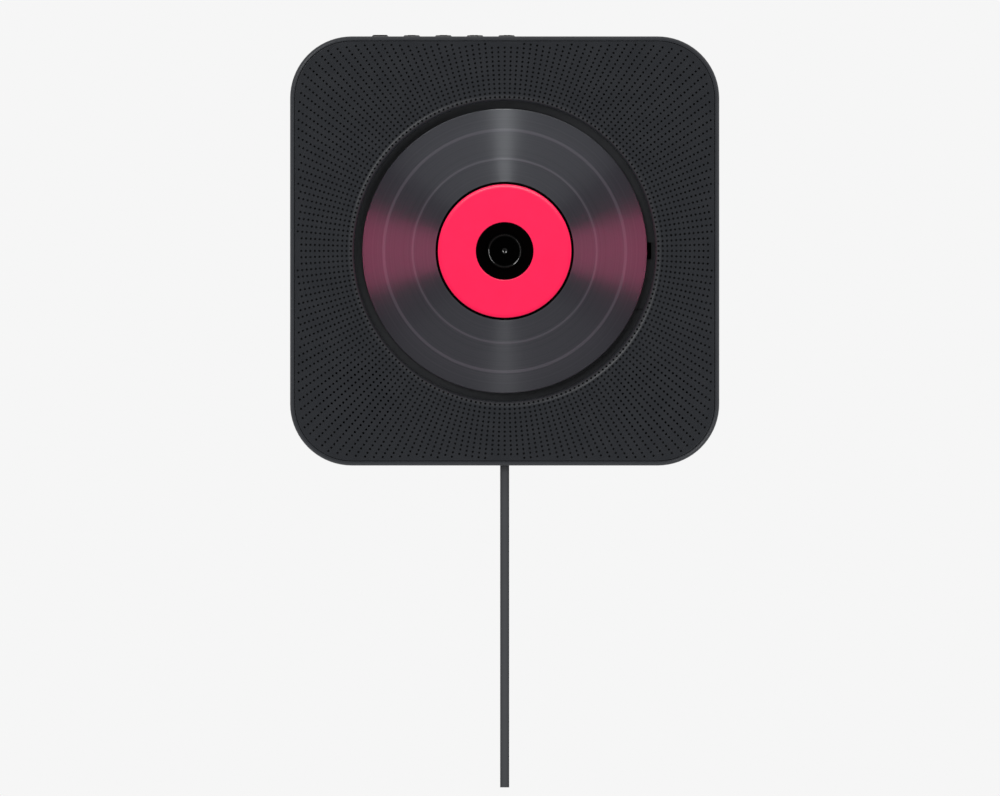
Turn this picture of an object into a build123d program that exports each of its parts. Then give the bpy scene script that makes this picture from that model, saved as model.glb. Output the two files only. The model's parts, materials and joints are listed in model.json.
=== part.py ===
from build123d import *
from math import atan2, cos, degrees, hypot, pi, radians, sin, sqrt
import os

# A wall mounted CD player. Lengths are in millimetres. x is to the right, z is up and the wall
# is the plane y = 0. The origin lies on the wall, on the axis of the disc. "Depth" is the
# distance from the wall towards the listener, so a point at depth d has y = -d.

# ---------------------------------------------------------------- casing
body_side = 181.0  # square front, outside
body_corner_r = 26.0
body_depth = 40.0  # casing alone, without its wall pads
wall_t = 1.8
rim_r = 1.5  # rounding of the front rim
rear_chamfer = 1.0
panel_seam = 0.65  # open groove between the rim and the front panel
panel_t = 1.8
ledge_w = 3.4  # ledge that carries the front panel
ledge_t = 1.6
cover_gap = 0.2  # around the rear cover
rear_skin_t = 2.0
rear_rib_t = 1.5
rear_rib_h = 3.0
boss_r = 3.2
boss_h = 12.0
boss_z = 38.0  # rear screw bosses, above and below the middle
boss_web_t = 2.0  # web from each boss to the side wall
screw_r = 1.2
screw_head_r = 2.3
screw_head_t = 1.4
screw_bite = 7.0  # length of a casing screw in its boss
countersink_gap = 0.2  # around a sunk screw head
pad_r = 6.0
pad_t = 1.5
pad_inset = 18.7  # from the inside of the walls to the middle of each pad
vent_count = 9
vent_w = 2.0
vent_l = 16.0
vent_pitch = 5.0
vent_z = 62.0

# ---------------------------------------------------------------- sound holes and disc well
hole_r = 0.48
hole_sides = 6
spokes = 200
first_ring_gap = 0.3  # from the lip to the innermost hole centres
ring_pitch = 1.906
pattern_inset = 3.2  # from the casing's outline to the outermost hole centres
disc_r = 60.0
disc_hole_r = 7.5
disc_t = 1.2
disc_recess = 5.0  # from the front of the panel to the front of the disc
label_r = 28.0
label_hole_r = 12.2
label_t = 0.15
label_groove_w = 1.2
label_groove_depth = 0.1
well_gap = 3.4  # around the disc
well_wall_t = 1.8
well_floor_t = 2.0
well_floor_drop = 2.0  # from the back of the disc to the floor of the well
lip_r = 3.0
collar_h = 1.5  # straight part of the lip's wall
well_ears = 4
ear_r = 3.2
ear_reach = 4.4
ear_t = 2.0
ear_step = 1.0  # from the front of the well's wall back to its ears
ear_screw_bite = 3.0

# ---------------------------------------------------------------- cover over the disc drive
cover_t = 1.0
cover_half_h = 24.45
cover_left = 26.0  # from the disc axis to its left edge
cover_seat = 1.5  # width of the rebate that it sits on
cover_seam = 0.45  # open seam along its lower edge
hub_hole_gap = 1.0
slot_w = 7.2
slot_end_wall = 0.5  # floor left between the slot and the wall of the well

# ---------------------------------------------------------------- turntable
platter_r = 15.5
platter_t = 1.7
platter_pad_t = 0.6
platter_pad_w = 2.5
boss_proud = 1.6  # boss in front of the disc
disc_fit = 0.1  # radial clearance of the boss in the disc
boss_chamfer = 1.0
boss_dimple_r = 1.6
boss_dimple_depth = 0.5
sleeve_r = 3.0
sleeve_l = 3.6
shaft_r = 1.0
shaft_fit = 0.05  # radial running clearance of every shaft
claws = 3
claw_w = 2.2
claw_l = 3.2
claw_t = 0.9
claw_grip = 0.3  # past the edge of the disc's hole
claw_lift = 0.02  # over the face of the disc

# ---------------------------------------------------------------- deck: chassis, motors, rods
chassis_t = 2.0
chassis_left = 22.0
chassis_margin = 1.0  # past the rod blocks, on the right
chassis_top = 36.0
chassis_bottom = 42.0
chassis_corner_r = 4.0
damper_gap = 2.5  # between the tray and the chassis
damper_r = 4.0
damper_groove_r = 3.0
damper_flange_t = 1.5
damper_hole_r = 1.8
damper_left_x = -16.0
damper_top_z = 30.0
damper_bottom_z = -36.0
deck_screw_l = 5.0
deck_screw_head_r = 3.4
motor_r = 12.0
motor_h = 7.0
motor_boss_r = 3.0
motor_boss_h = 1.5
motor_cap_r = 3.5
motor_cap_h = 1.0
rod_r = 1.5
rod_z = 18.5  # guide rods, above and below the middle
rod_drop = 3.3  # from the chassis to the rod axis
rod_left = 9.0
rod_block_l = 3.5
rod_block_wall = 1.7

# ---------------------------------------------------------------- pickup
lens_home_x = 23.5  # radius of the innermost track
track_margin = 2.0  # from the edge of the disc to the outermost track
pickup_left = 10.0  # from the lens
pickup_right = 14.0
pickup_half_h = 14.0
pickup_t = 10.0
pickup_rise = 0.2  # front of its block in front of the chassis
pickup_motor_gap = 0.5
pickup_stop_gap = 0.75  # to the rod blocks at the end of its travel
bushing_l = 5.0
bushing_wall = 1.3
shoe_l = 9.0
bay_w = 12.6  # bay for the lens holder, across the travel
bay_depth = 1.2
lens_r = 2.7
barrel_r = 3.3
barrel_wall_drop = 0.35  # rim of the barrel behind the top of the lens
lens_t = 0.9
lens_edge_t = 0.35
lens_clear = 1.5  # from the lens to the disc
lens_focus = 0.5  # travel each way
holder_l = 10.0
holder_w = 11.0
holder_t = 2.0
holder_gap = 0.3  # from the holder at the end of its travel to the pickup
magnet_t = 1.6
magnet_w = 9.0
magnet_h = 2.6
magnet_gap = 0.8

# ---------------------------------------------------------------- sled gears
rack_module = 0.5
rack_gear_teeth = 11
rack_t = 2.0
rack_bar_w = 2.5
rack_overrun = 2.5
rack_left_x = 4.0  # left end at the innermost track
rack_clear = 0.35  # from the rod blocks
rack_rise = 1.0  # rack in front of the rod axis
wheel_module = 0.4
wheel_teeth = 40
motor_pinion_teeth = 11
wheel_t = 1.8
wheel_clear = 0.4  # from the pickup and the motor
small_gear_overlap = 0.5
gear_hub_r = 2.1
tooth_tip_share = 0.11  # half widths, as shares of the pitch
tooth_root_share = 0.30
tooth_addendum = 0.9
tooth_dedendum = 1.2
gear_pin_head_r = 1.8
gear_pin_head_t = 0.6
sled_motor_r = 6.2
sled_motor_shaft_r = 0.5
sled_motor_cap_t = 1.0  # closed end of the motor, in front of its shaft
sled_motor_angle = 225.0  # direction from the gear axis to the motor

# ---------------------------------------------------------------- speakers
speaker_gap = 2.96  # from its edge to the ledge of the casing and to the well
speaker_seat_t = 2.0
speaker_seat_w = 4.0
speaker_flange_t = 1.2
speaker_flange_w = 3.4
basket_t = 1.0
basket_h = 8.5
basket_rib_w = 9.0
magnet_r = 11.0
magnet_margin = 1.0  # of the basket's back, round the magnet
magnet_depth = 6.0
yoke_inset = 2.5  # from the edge of the magnet
yoke_t = 1.6
cone_t = 0.5
cone_gap = 0.2
roll_w = 2.4
roll_h = 1.3
cone_h = 4.5
dust_cap_r = 5.0
dust_cap_h = 1.6
cloth_t = 0.4

# ---------------------------------------------------------------- keys
key_names = ["power_button", "volume_down_button", "volume_up_button", "back_button", "forward_button"]
key_pitch = 13.36
key_first_x = -52.6
key_w = 7.1
key_l = 10.5
key_depth = 21.0  # middle of the keys, from the wall
key_gap = 0.25
key_proud = 0.65
key_chamfer = 0.45
key_travel = 0.5
key_flange_w = 1.0
key_flange_t = 1.0
key_flange_gap = 0.3
key_stem_w = 3.0
key_stem_h = 1.6
key_mark_h = 0.15
key_mark_w = 0.8
key_mark_l = 3.1
key_arrow_r = 0.8
key_mark_gap = 0.3
key_pad_inset = 0.6  # raised pad of the power key, from its edge
key_board_t = 1.6
key_board_w = 15.0
key_board_reach = 12.0  # past the outermost keys
key_post_r = 2.4
key_post_reach = 8.0
switch_side = 6.0
switch_h = 3.5
switch_dome_r = 1.7
switch_dome_h = 0.8
switch_gap = 0.05  # from the stem to the switch at the end of its travel

# ---------------------------------------------------------------- boards and sockets
board_t = 1.6
board_depth = 9.0  # back of the main board, from the wall
board_wall_gap = 6.7  # from its left edge to the casing
board_right = 26.0
board_half_h = 34.0
tab_half_w = 44.0
tab_wall_gap = 3.7  # from the foot of its tab to the bottom wall
tab_post_rise = 26.0  # from the foot of the tab to its posts
board_post_r = 2.8
board_post_inset = 4.5
board_screw_bite = 3.0
jack_x = 34.0
dc_w = 11.0
dc_t = 9.0
dc_h = 12.0
dc_bore_r = 2.75
dc_pin_r = 1.0
dc_bore_l = 9.5
audio_w = 8.0
audio_t = 7.0
audio_h = 13.0
audio_bore_r = 1.8
audio_bore_l = 12.0
jack_nose_gap = 0.1
jack_nose_wall = 1.1
capacitors = 3
capacitor_r = 4.0
capacitor_h = 11.0
capacitor_inset = 12.0  # from the left edge of the board
capacitor_pitch = 13.0
decoder_side = 14.0  # larger chip
decoder_x = -44.0
decoder_z = 8.0
driver_side = 9.0  # smaller chip
driver_x = -8.0
driver_z = -18.0
chip_h = 1.3

# ---------------------------------------------------------------- pull cord
cord_r = 1.9
cord_drop = 136.0  # below the casing
cord_depth = 18.0
pull_travel = 6.0
bushing_r = 4.6
bushing_flange_w = 1.4
bushing_flange_t = 1.2
bell_r = 3.3
bell_h = 0.8
cord_fit = 0.1
guide_side = 12.8
guide_bore_r = 4.3
guide_floor_t = 2.0
guide_h = 26.0
guide_lift = 4.5  # above the bottom wall
slider_fit = 0.1
slider_h = 6.0
slider_top_gap = 3.0
cord_grip_l = 4.0
spring_wire = 0.6
spring_turns = 4.5
spring_gap = 0.3

# ---------------------------------------------------------------- wall bracket
bracket_w = 80.0
bracket_h = 52.0
bracket_t = 2.0
bracket_corner_r = 5.0
bracket_hole_r = 2.25
bracket_hole_x = 32.0
bracket_hole_z = 18.0
bracket_sink_r = 4.2
bracket_sink_depth = 1.2
stud_x = 20.0
stud_z = 8.0
stud_neck_r = 2.0
stud_head_r = 4.0
stud_head_t = 1.8
hang_travel = 8.0
keyhole_gap = 0.3
bracket_gap = 1.0  # from the plate to the back of the player
pocket_margin = 1.5

# ================================================================ depths and places worked out
rear_d = pad_t
front_d = rear_d + body_depth
rear_inner_d = rear_d + rear_skin_t
panel_rear_d = front_d - panel_t
half_side = body_side / 2
half_inside = half_side - wall_t
ledge_inside = half_inside - ledge_w
pad_at = half_inside - pad_inset
disc_front_d = front_d - disc_recess
disc_rear_d = disc_front_d - disc_t
well_floor_d = disc_rear_d - well_floor_drop
tray_rear_d = well_floor_d - well_floor_t
well_r = disc_r + well_gap
lip_outer_r = well_r + lip_r
collar_d = front_d - lip_r - collar_h
first_ring_r = lip_outer_r + first_ring_gap
tray_r = well_r + well_wall_t
ear_front_d = collar_d - ear_step
ear_rear_d = ear_front_d - ear_t
ear_at = tray_r + ear_reach
chassis_front_d = tray_rear_d - damper_gap
chassis_rear_d = chassis_front_d - chassis_t
motor_rear_d = chassis_rear_d - motor_h
platter_front_d = disc_rear_d - platter_pad_t
platter_rear_d = platter_front_d - platter_t
hub_hole_r = platter_r + hub_hole_gap
boss_outer_r = disc_hole_r - disc_fit
boss_front_d = disc_front_d + boss_proud
rod_d = chassis_rear_d - rod_drop
pickup_front_d = chassis_front_d + pickup_rise
pickup_rear_d = pickup_front_d - pickup_t
lens_front_d = disc_rear_d - lens_clear
holder_rear_d = pickup_front_d - bay_depth + lens_focus + holder_gap
rack_gear_r = rack_module * rack_gear_teeth / 2
wheel_r = wheel_module * wheel_teeth / 2
motor_pinion_r = wheel_module * motor_pinion_teeth / 2
lens_travel = disc_r - track_margin - lens_home_x
rack_l = lens_travel + 2 * rack_overrun
rod_right = lens_home_x + lens_travel + pickup_right + pickup_stop_gap + rod_block_l
chassis_right = rod_right + chassis_margin
deck_screw_face_d = chassis_rear_d - damper_flange_t
damper_right_x = sqrt((well_r - damper_r) ** 2 - damper_bottom_z ** 2)
rod_block_half = rod_r + rod_block_wall
rack_top_z = -(rod_z + rod_block_half + rack_clear)
rack_pitch_z = rack_top_z - rack_bar_w - tooth_dedendum * rack_module
gear_x = rack_left_x + rack_l - rack_overrun
gear_z = rack_pitch_z - rack_gear_r
rack_rear_d = rod_d + rack_rise - rack_t
wheel_front_d = pickup_rear_d - wheel_clear
wheel_rear_d = wheel_front_d - wheel_t
pinion_reach = wheel_r + motor_pinion_r
sled_motor_x = gear_x + pinion_reach * cos(radians(sled_motor_angle))
sled_motor_z = gear_z + pinion_reach * sin(radians(sled_motor_angle))
corner_room_r = (sqrt(2) * ledge_inside - tray_r) / (1 + sqrt(2))  # between ledge and well
speaker_r = corner_room_r - speaker_gap
speaker_at = ledge_inside - speaker_gap - speaker_r
speaker_d = panel_rear_d - speaker_seat_t
speaker_screw_l = speaker_flange_t + speaker_seat_t
cloth_r = speaker_r - speaker_seat_w - cone_gap
open_hole_r = cloth_r - hole_r  # sound holes this near to a speaker's axis go right through
basket_back_r = magnet_r + magnet_margin
yoke_r = magnet_r - yoke_inset
board_front_d = board_depth + board_t
board_left = board_wall_gap - half_inside
tab_bottom = tab_wall_gap - half_inside
key_flange_z = half_inside - key_flange_gap
key_foot_z = key_flange_z - key_flange_t - key_stem_h
key_board_z = key_foot_z - key_travel - switch_gap - switch_dome_h - switch_h
key_places = [key_first_x + key_pitch * n for n in range(len(key_names))]
guide_z = -half_inside + guide_lift
slider_top_z = guide_z + guide_h - slider_top_gap
slider_z = slider_top_z - slider_h
cord_end_z = -half_side - cord_drop
spring_r = (guide_bore_r + cord_r) / 2


# ================================================================ helpers
def at(depth):
    """Plane parallel to the wall that faces the listener, with local axes x and z."""
    return Plane(origin=(0, -depth, 0), x_dir=(1, 0, 0), z_dir=(0, -1, 0))


def slab(outline, near, far):
    """Prism of a front-view outline between two depths."""
    return extrude(at(near) * outline, far - near)


def rod(radius, near, far, x=0.0, z=0.0):
    return slab(Pos(x, z) * Circle(radius), near, far)


def tube(outer, inner, near, far, x=0.0, z=0.0):
    return slab(Pos(x, z) * (Circle(outer) - Circle(inner)), near, far)


def block(x0, x1, near, far, z0, z1):
    """Box from its limits in x, depth and z."""
    return slab(Pos((x0 + x1) / 2, (z0 + z1) / 2) * Rectangle(x1 - x0, z1 - z0), near, far)


def upright(outline, x, depth, z0, z1):
    """Prism of a top-view outline between two heights."""
    return extrude(Plane(origin=(x, -depth, z0)) * outline, z1 - z0)


def turned(profile, x=0.0, z=0.0):
    """Solid turned about a depth axis; the profile lists radius and depth."""
    outline = Polyline(*[(radius, -depth) for radius, depth in profile], close=True)
    return Pos(x, 0, z) * revolve(make_face(outline.edges()), Axis.Y)


def square(inset):
    """The casing's rounded square outline, moved inwards."""
    return RectangleRounded(body_side - 2 * inset, body_side - 2 * inset, body_corner_r - inset)


def corners(x, z):
    """The four points with these distances from the middle."""
    return [(sx * x, sz * z) for sx in (-1, 1) for sz in (-1, 1)]


def group(solids):
    """Separate solids of one node."""
    return Compound(children=list(solids))


# ================================================================ casing
def rear_screw_places():
    """Screw axes whose bosses stand against the side walls."""
    return corners(half_inside - boss_r - cover_gap - rear_rib_t, boss_z)


def housing_shell():
    """Square tube of the four walls, with a rounded front rim and a ledge for the panel."""
    casing = slab(square(0), rear_d, front_d)
    casing = fillet(casing.faces().sort_by(Axis.Y)[0].edges(), rim_r)
    casing = chamfer(casing.faces().sort_by(Axis.Y)[-1].edges(), rear_chamfer)
    casing -= slab(square(wall_t), rear_d, front_d)
    ledge = square(wall_t) - square(wall_t + ledge_w)
    casing += slab(ledge, panel_rear_d - ledge_t, panel_rear_d)
    boss_front_end_d = rear_inner_d + boss_h
    for x, z in rear_screw_places():
        web_x = sorted((x, half_inside if x > 0 else -half_inside))
        web_d = rear_inner_d + rear_rib_h
        web = block(*web_x, web_d, boss_front_end_d, z - boss_web_t / 2, z + boss_web_t / 2)
        casing += rod(boss_r, rear_inner_d, boss_front_end_d, x, z) + web
        casing -= rod(screw_r, rear_inner_d, rear_inner_d + screw_bite, x, z)
    for x in key_post_places():
        casing += upright(Circle(key_post_r), x, key_depth, key_board_z, half_inside)
    for x in key_places:
        opening = SlotOverall(key_l + 2 * key_gap, key_w + 2 * key_gap, rotation=90)
        casing -= upright(opening, x, key_depth, half_inside, half_side)
    casing -= upright(Circle(bushing_r), 0, cord_depth, -half_side, -half_inside)
    for x, depth, radius in jack_noses():
        casing -= upright(Circle(radius + jack_nose_gap), x, depth, -half_side, -half_inside)
    return casing


def sound_hole_places():
    """Hole centres on rings about the disc axis, inside a smaller rounded square."""
    edge = half_side - pattern_inset
    corner_r = body_corner_r - pattern_inset
    places = []
    rings = int((edge * sqrt(2) - first_ring_r) / ring_pitch) + 1
    for ring in range(rings):
        radius = first_ring_r + ring * ring_pitch
        for spoke in range(spokes):
            angle = 2 * pi * spoke / spokes
            x = radius * cos(angle)
            z = radius * sin(angle)
            past_x = max(abs(x) - edge + corner_r, 0)
            past_z = max(abs(z) - edge + corner_r, 0)
            if hypot(past_x, past_z) <= corner_r:
                places.append((x, z))
    return places


def sound_grille(x, z):
    """Round piece of the front plate before one speaker, pierced by its open sound holes."""
    plane = at(panel_rear_d)
    hole = RegularPolygon(hole_r, hole_sides)
    near_speaker = [(hx, hz) for hx, hz in sound_hole_places() if hypot(hx - x, hz - z) < open_hole_r]
    holes = [(plane * Pos(hx, hz) * hole).wire() for hx, hz in near_speaker]
    rim = (plane * Pos(x, z) * Circle(cloth_r)).wire()
    return Solid.extrude(Face(rim, holes), Vector(0, panel_rear_d - front_d, 0))


def grille_panel():
    """Front panel with the rolled lip of the well, speaker seats and open sound holes."""
    panel = slab(square(wall_t + panel_seam) - Circle(lip_outer_r), panel_rear_d, front_d)
    roll = ThreePointArc(
        (lip_outer_r, -front_d),
        (lip_outer_r - lip_r * sin(pi / 4), -front_d + lip_r * (1 - cos(pi / 4))),
        (well_r, -front_d + lip_r),
    )
    back = Polyline(
        (well_r, -front_d + lip_r),
        (well_r, -collar_d),
        (tray_r, -collar_d),
        (tray_r, -panel_rear_d + lip_r - panel_t),
        (lip_outer_r, -panel_rear_d),
        (lip_outer_r, -front_d),
    )
    panel += revolve(make_face((roll + back).edges()), Axis.Y)
    for x, z in speaker_places():
        panel += tube(speaker_r, speaker_r - speaker_seat_w, speaker_d, panel_rear_d, x, z)
        for sx, sz in speaker_screw_places(x, z):
            panel -= rod(screw_r, speaker_d, panel_rear_d, sx, sz)
        panel -= rod(cloth_r, panel_rear_d, front_d, x, z)
    for x, z in ear_places():
        panel += tube(ear_r, screw_r, ear_front_d, panel_rear_d, x, z)
    grilles = [sound_grille(x, z) for x, z in speaker_places()]
    return panel.fuse(*grilles, glue=True).clean()


def ear_places():
    angles = [2 * pi * n / well_ears for n in range(well_ears)]
    return [(ear_at * cos(angle), ear_at * sin(angle)) for angle in angles]


def cover_outline(lower, inset=0.0):
    """Left part of a wide bar that ends at the round wall of the well; lower is its lower edge."""
    top = cover_half_h - inset
    middle = Pos((well_r - cover_left) / 2, (top + lower) / 2)
    bar = middle * Rectangle(well_r + cover_left - 2 * inset, top - lower)
    return bar & Circle(well_r - inset)


def disc_well():
    """Round tray with a rebate for the drive's cover and posts for the chassis."""
    tray = rod(tray_r, tray_rear_d, collar_d)
    tray -= rod(well_r, well_floor_d, collar_d)
    tray -= slab(cover_outline(-cover_half_h - cover_seam), well_floor_d - cover_t, well_floor_d)
    through = cover_outline(-cover_half_h + cover_seat, cover_seat)
    tray -= slab(through, tray_rear_d, well_floor_d)
    root = well_r + well_wall_t / 2
    arm = Pos((root + ear_at) / 2, 0) * Rectangle(ear_at - root, 2 * ear_r)
    for x, z in ear_places():
        turned_arm = Rot(0, 0, degrees(atan2(z, x))) * arm
        ear = slab(turned_arm + Pos(x, z) * Circle(ear_r), ear_rear_d, ear_front_d)
        tray += ear - rod(screw_r + shaft_fit, ear_rear_d, ear_front_d, x, z)
    for x, z in damper_places():
        tray += rod(damper_hole_r - shaft_fit, chassis_rear_d - damper_flange_t, tray_rear_d, x, z)
        tray += rod(damper_r, chassis_front_d + damper_flange_t, tray_rear_d, x, z)
        tray -= rod(screw_r, chassis_rear_d - damper_flange_t, tray_rear_d, x, z)
    return tray


def mechanism_cover():
    """Flush plate over the drive, with the hub hole and the slot that the lens runs along."""
    outline = cover_outline(-cover_half_h)
    slot_end = well_r - slot_end_wall
    slot = Pos(slot_end / 2, 0) * Rectangle(slot_end, slot_w)
    return slab(outline - Circle(hub_hole_r) - slot, well_floor_d - cover_t, well_floor_d)


def rear_cover():
    """Back plate with a shallow pocket for the bracket, keyhole slots, vents and board posts."""
    skin = slab(square(wall_t + cover_gap), rear_d, rear_inner_d)
    rib = square(wall_t + cover_gap) - square(wall_t + cover_gap + rear_rib_t)
    cover = skin + slab(rib, rear_inner_d, rear_inner_d + rear_rib_h)
    pocket_w = bracket_w + 2 * pocket_margin
    pocket_h = bracket_h + hang_travel + 2 * pocket_margin
    pocket = Pos(0, -hang_travel / 2) * RectangleRounded(pocket_w, pocket_h, bracket_corner_r)
    pocket_d = bracket_t + bracket_gap
    swell = Pos(0, -hang_travel / 2) * RectangleRounded(
        pocket_w + 2 * rear_skin_t, pocket_h + 2 * rear_skin_t, bracket_corner_r + rear_skin_t
    )
    cover += slab(swell, rear_d, pocket_d + rear_skin_t)
    cover -= slab(pocket, rear_d, pocket_d)
    for side in (-1, 1):
        cover -= slab(keyhole(side * stud_x), rear_d, pocket_d + rear_skin_t)
    for x, z in board_post_places():
        cover += rod(board_post_r, rear_inner_d, board_depth, x, z)
        cover -= rod(screw_r, board_depth - board_screw_bite, board_depth, x, z)
    for x, z in rear_screw_places():
        cover -= rod(screw_r + cover_gap, rear_d, rear_inner_d, x, z)
        cover -= rod(screw_head_r + countersink_gap, rear_d, rear_d + screw_head_t, x, z)
    for n in range(vent_count):
        vent_x = vent_pitch * (n - (vent_count - 1) / 2)
        slot = Pos(vent_x, vent_z) * SlotOverall(vent_l, vent_w, rotation=90)
        cover -= slab(slot, rear_d, rear_inner_d)
    return cover


def keyhole(x):
    """Slot whose upper end holds the stud's neck, above a hole that its head passes."""
    neck = stud_neck_r + keyhole_gap
    slot = Pos(x, stud_z - hang_travel / 2) * Rectangle(2 * neck, hang_travel)
    slot += Pos(x, stud_z) * Circle(neck)
    return slot + Pos(x, stud_z - hang_travel) * Circle(stud_head_r + keyhole_gap)


def screws(places, seat_d, length, way=1, head_r=screw_head_r):
    """Screws whose heads bear on the depth seat_d; way is 1 where the shanks point to the listener."""
    solids = []
    for x, z in places:
        head = rod(head_r, seat_d, seat_d - way * screw_head_t, x, z)
        solids.append(head + rod(screw_r, seat_d, seat_d + way * length, x, z))
    return group(solids)


# ================================================================ wall bracket
def wall_bracket():
    """Steel plate with four sunk screw holes and two stud holes."""
    plate = RectangleRounded(bracket_w, bracket_h, bracket_corner_r)
    plate -= [Pos(x, z) * Circle(bracket_hole_r) for x, z in corners(bracket_hole_x, bracket_hole_z)]
    plate -= [Pos(side * stud_x, stud_z) * Circle(stud_neck_r) for side in (-1, 1)]
    bracket = slab(plate, 0, bracket_t)
    for x, z in corners(bracket_hole_x, bracket_hole_z):
        sink = [
            (0, bracket_t - bracket_sink_depth),
            (bracket_hole_r, bracket_t - bracket_sink_depth),
            (bracket_sink_r, bracket_t),
            (0, bracket_t),
        ]
        bracket -= turned(sink, x, z)
    return bracket


def bracket_studs():
    """Two headed studs; the heads sit behind the skin of the player's back."""
    head_d = bracket_t + bracket_gap + rear_skin_t + keyhole_gap
    solids = []
    for side in (-1, 1):
        neck = rod(stud_neck_r, 0, head_d, side * stud_x, stud_z)
        solids.append(neck + rod(stud_head_r, head_d, head_d + stud_head_t, side * stud_x, stud_z))
    return group(solids)


# ================================================================ disc and turntable
def disc():
    """Plain disc with a fine groove round the label."""
    plate = tube(disc_r, disc_hole_r, disc_rear_d, disc_front_d)
    groove = tube(label_r + label_groove_w, label_r, disc_front_d - label_groove_depth, disc_front_d)
    return plate - groove


def disc_label():
    return tube(label_r, label_hole_r, disc_front_d, disc_front_d + label_t)


def turntable():
    """Platter, boss and sleeve in one moulding, with slots for the claws."""
    profile = [
        (shaft_r, platter_rear_d - sleeve_l),
        (sleeve_r, platter_rear_d - sleeve_l),
        (sleeve_r, platter_rear_d),
        (platter_r, platter_rear_d),
        (platter_r, platter_front_d),
        (boss_outer_r, platter_front_d),
        (boss_outer_r, boss_front_d - boss_chamfer / 2),
        (boss_outer_r - boss_chamfer, boss_front_d),
        (boss_dimple_r, boss_front_d),
        (boss_dimple_r, boss_front_d - boss_dimple_depth),
        (shaft_r, boss_front_d - boss_dimple_depth),
    ]
    hub = turned(profile)
    for n in range(claws):
        hub -= claw_shape(n, claw_w + 2 * shaft_fit, claw_t + shaft_fit)
    return hub


def claw_shape(number, width, thickness):
    """One claw: a radial bar whose nose overlaps the edge of the disc's hole."""
    reach = disc_hole_r + claw_grip
    near = disc_front_d + claw_lift
    bar = block(reach - claw_l, reach, near, near + thickness, -width / 2, width / 2)
    return Rot(0, 360 * number / claws + 90, 0) * bar


def clamp_claws():
    return group([claw_shape(n, claw_w, claw_t) for n in range(claws)])


def platter_pad():
    outer = platter_r - shaft_fit
    return tube(outer, outer - platter_pad_w, platter_front_d, disc_rear_d)


def spindle_shaft():
    return rod(shaft_r, motor_rear_d, boss_front_d - boss_dimple_depth)


# ================================================================ deck
def damper_places():
    return [(x, z) for x in (damper_left_x, damper_right_x) for z in (damper_bottom_z, damper_top_z)]


def deck_chassis():
    """Flat frame with the pickup's window, blocks for the guide rods and a gear boss."""
    width = chassis_left + chassis_right
    height = chassis_top + chassis_bottom
    middle = Pos((chassis_right - chassis_left) / 2, (chassis_top - chassis_bottom) / 2)
    outline = middle * RectangleRounded(width, height, chassis_corner_r)
    left = lens_home_x - pickup_left - pickup_motor_gap
    right = lens_home_x + lens_travel + pickup_right + pickup_motor_gap
    outline -= Pos((left + right) / 2, 0) * Rectangle(right - left, 2 * (pickup_half_h + pickup_motor_gap))
    outline -= Circle(motor_boss_r + shaft_fit)
    outline -= [Pos(x, z) * Circle(damper_groove_r + shaft_fit) for x, z in damper_places()]
    chassis = slab(outline, chassis_rear_d, chassis_front_d)
    for x0 in (rod_left, rod_right - rod_block_l):
        for z in (-rod_z, rod_z):
            low = z - rod_block_half
            high = z + rod_block_half
            chassis += block(x0, x0 + rod_block_l, rod_d - rod_block_half, chassis_rear_d, low, high)
    chassis -= guide_rod(rod_z)
    chassis -= guide_rod(-rod_z)
    gear_top_d = rack_rear_d + rack_t + 2 * small_gear_overlap
    chassis += tube(gear_hub_r, shaft_r, gear_top_d, chassis_rear_d, gear_x, gear_z)
    chassis -= rod(shaft_r, chassis_rear_d, chassis_front_d, gear_x, gear_z)
    return chassis


def guide_rod(z):
    """Round steel rod along the travel of the pickup."""
    end = Plane(origin=(rod_left, -rod_d, z), z_dir=(1, 0, 0))
    return extrude(end * Circle(rod_r), rod_right - rod_left)


def chassis_dampers():
    """Rubber grommets with the chassis in their grooves."""
    near = chassis_rear_d - damper_flange_t
    far = chassis_front_d + damper_flange_t
    profile = [
        (damper_hole_r, near),
        (damper_r, near),
        (damper_r, chassis_rear_d),
        (damper_groove_r, chassis_rear_d),
        (damper_groove_r, chassis_front_d),
        (damper_r, chassis_front_d),
        (damper_r, far),
        (damper_hole_r, far),
    ]
    return group([turned(profile, x, z) for x, z in damper_places()])


def spindle_motor():
    """Flat motor under the chassis, with its front boss in the chassis hole."""
    profile = [
        (shaft_r + shaft_fit, motor_rear_d),
        (motor_cap_r, motor_rear_d),
        (motor_r, motor_rear_d + motor_cap_h),
        (motor_r, chassis_rear_d),
        (motor_boss_r, chassis_rear_d),
        (motor_boss_r, chassis_rear_d + motor_boss_h),
        (shaft_r + shaft_fit, chassis_rear_d + motor_boss_h),
    ]
    return turned(profile)


def pickup_body():
    """Block with two bushings on the upper rod, a forked shoe on the lower rod and a lens bay."""
    x0 = lens_home_x - pickup_left
    x1 = lens_home_x + pickup_right
    body = block(x0, x1, pickup_rear_d, pickup_front_d, -pickup_half_h, pickup_half_h)
    bay = bay_w / 2 + magnet_gap + magnet_t
    bay_d = pickup_front_d - bay_depth
    body -= block(lens_home_x - bay, lens_home_x + bay, bay_d, pickup_front_d, -bay_w / 2, bay_w / 2)
    reach = rod_r + bushing_wall
    for start in (x0, x1 - bushing_l):
        body += block(start, start + bushing_l, rod_d - reach, rod_d + reach, pickup_half_h, rod_z + reach)
    shoe_x0 = (x0 + x1 - shoe_l) / 2
    body += block(shoe_x0, shoe_x0 + shoe_l, rod_d - reach, rod_d + reach, rack_top_z, -pickup_half_h)
    bore_r = rod_r + shaft_fit
    body -= extrude(Plane(origin=(x0, -rod_d, rod_z), z_dir=(1, 0, 0)) * Circle(bore_r), x1 - x0)
    fork_foot = -rod_z - bore_r - shaft_fit
    return body - block(x0, x1, rod_d - bore_r, rod_d + bore_r, fork_foot, -pickup_half_h)


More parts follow.
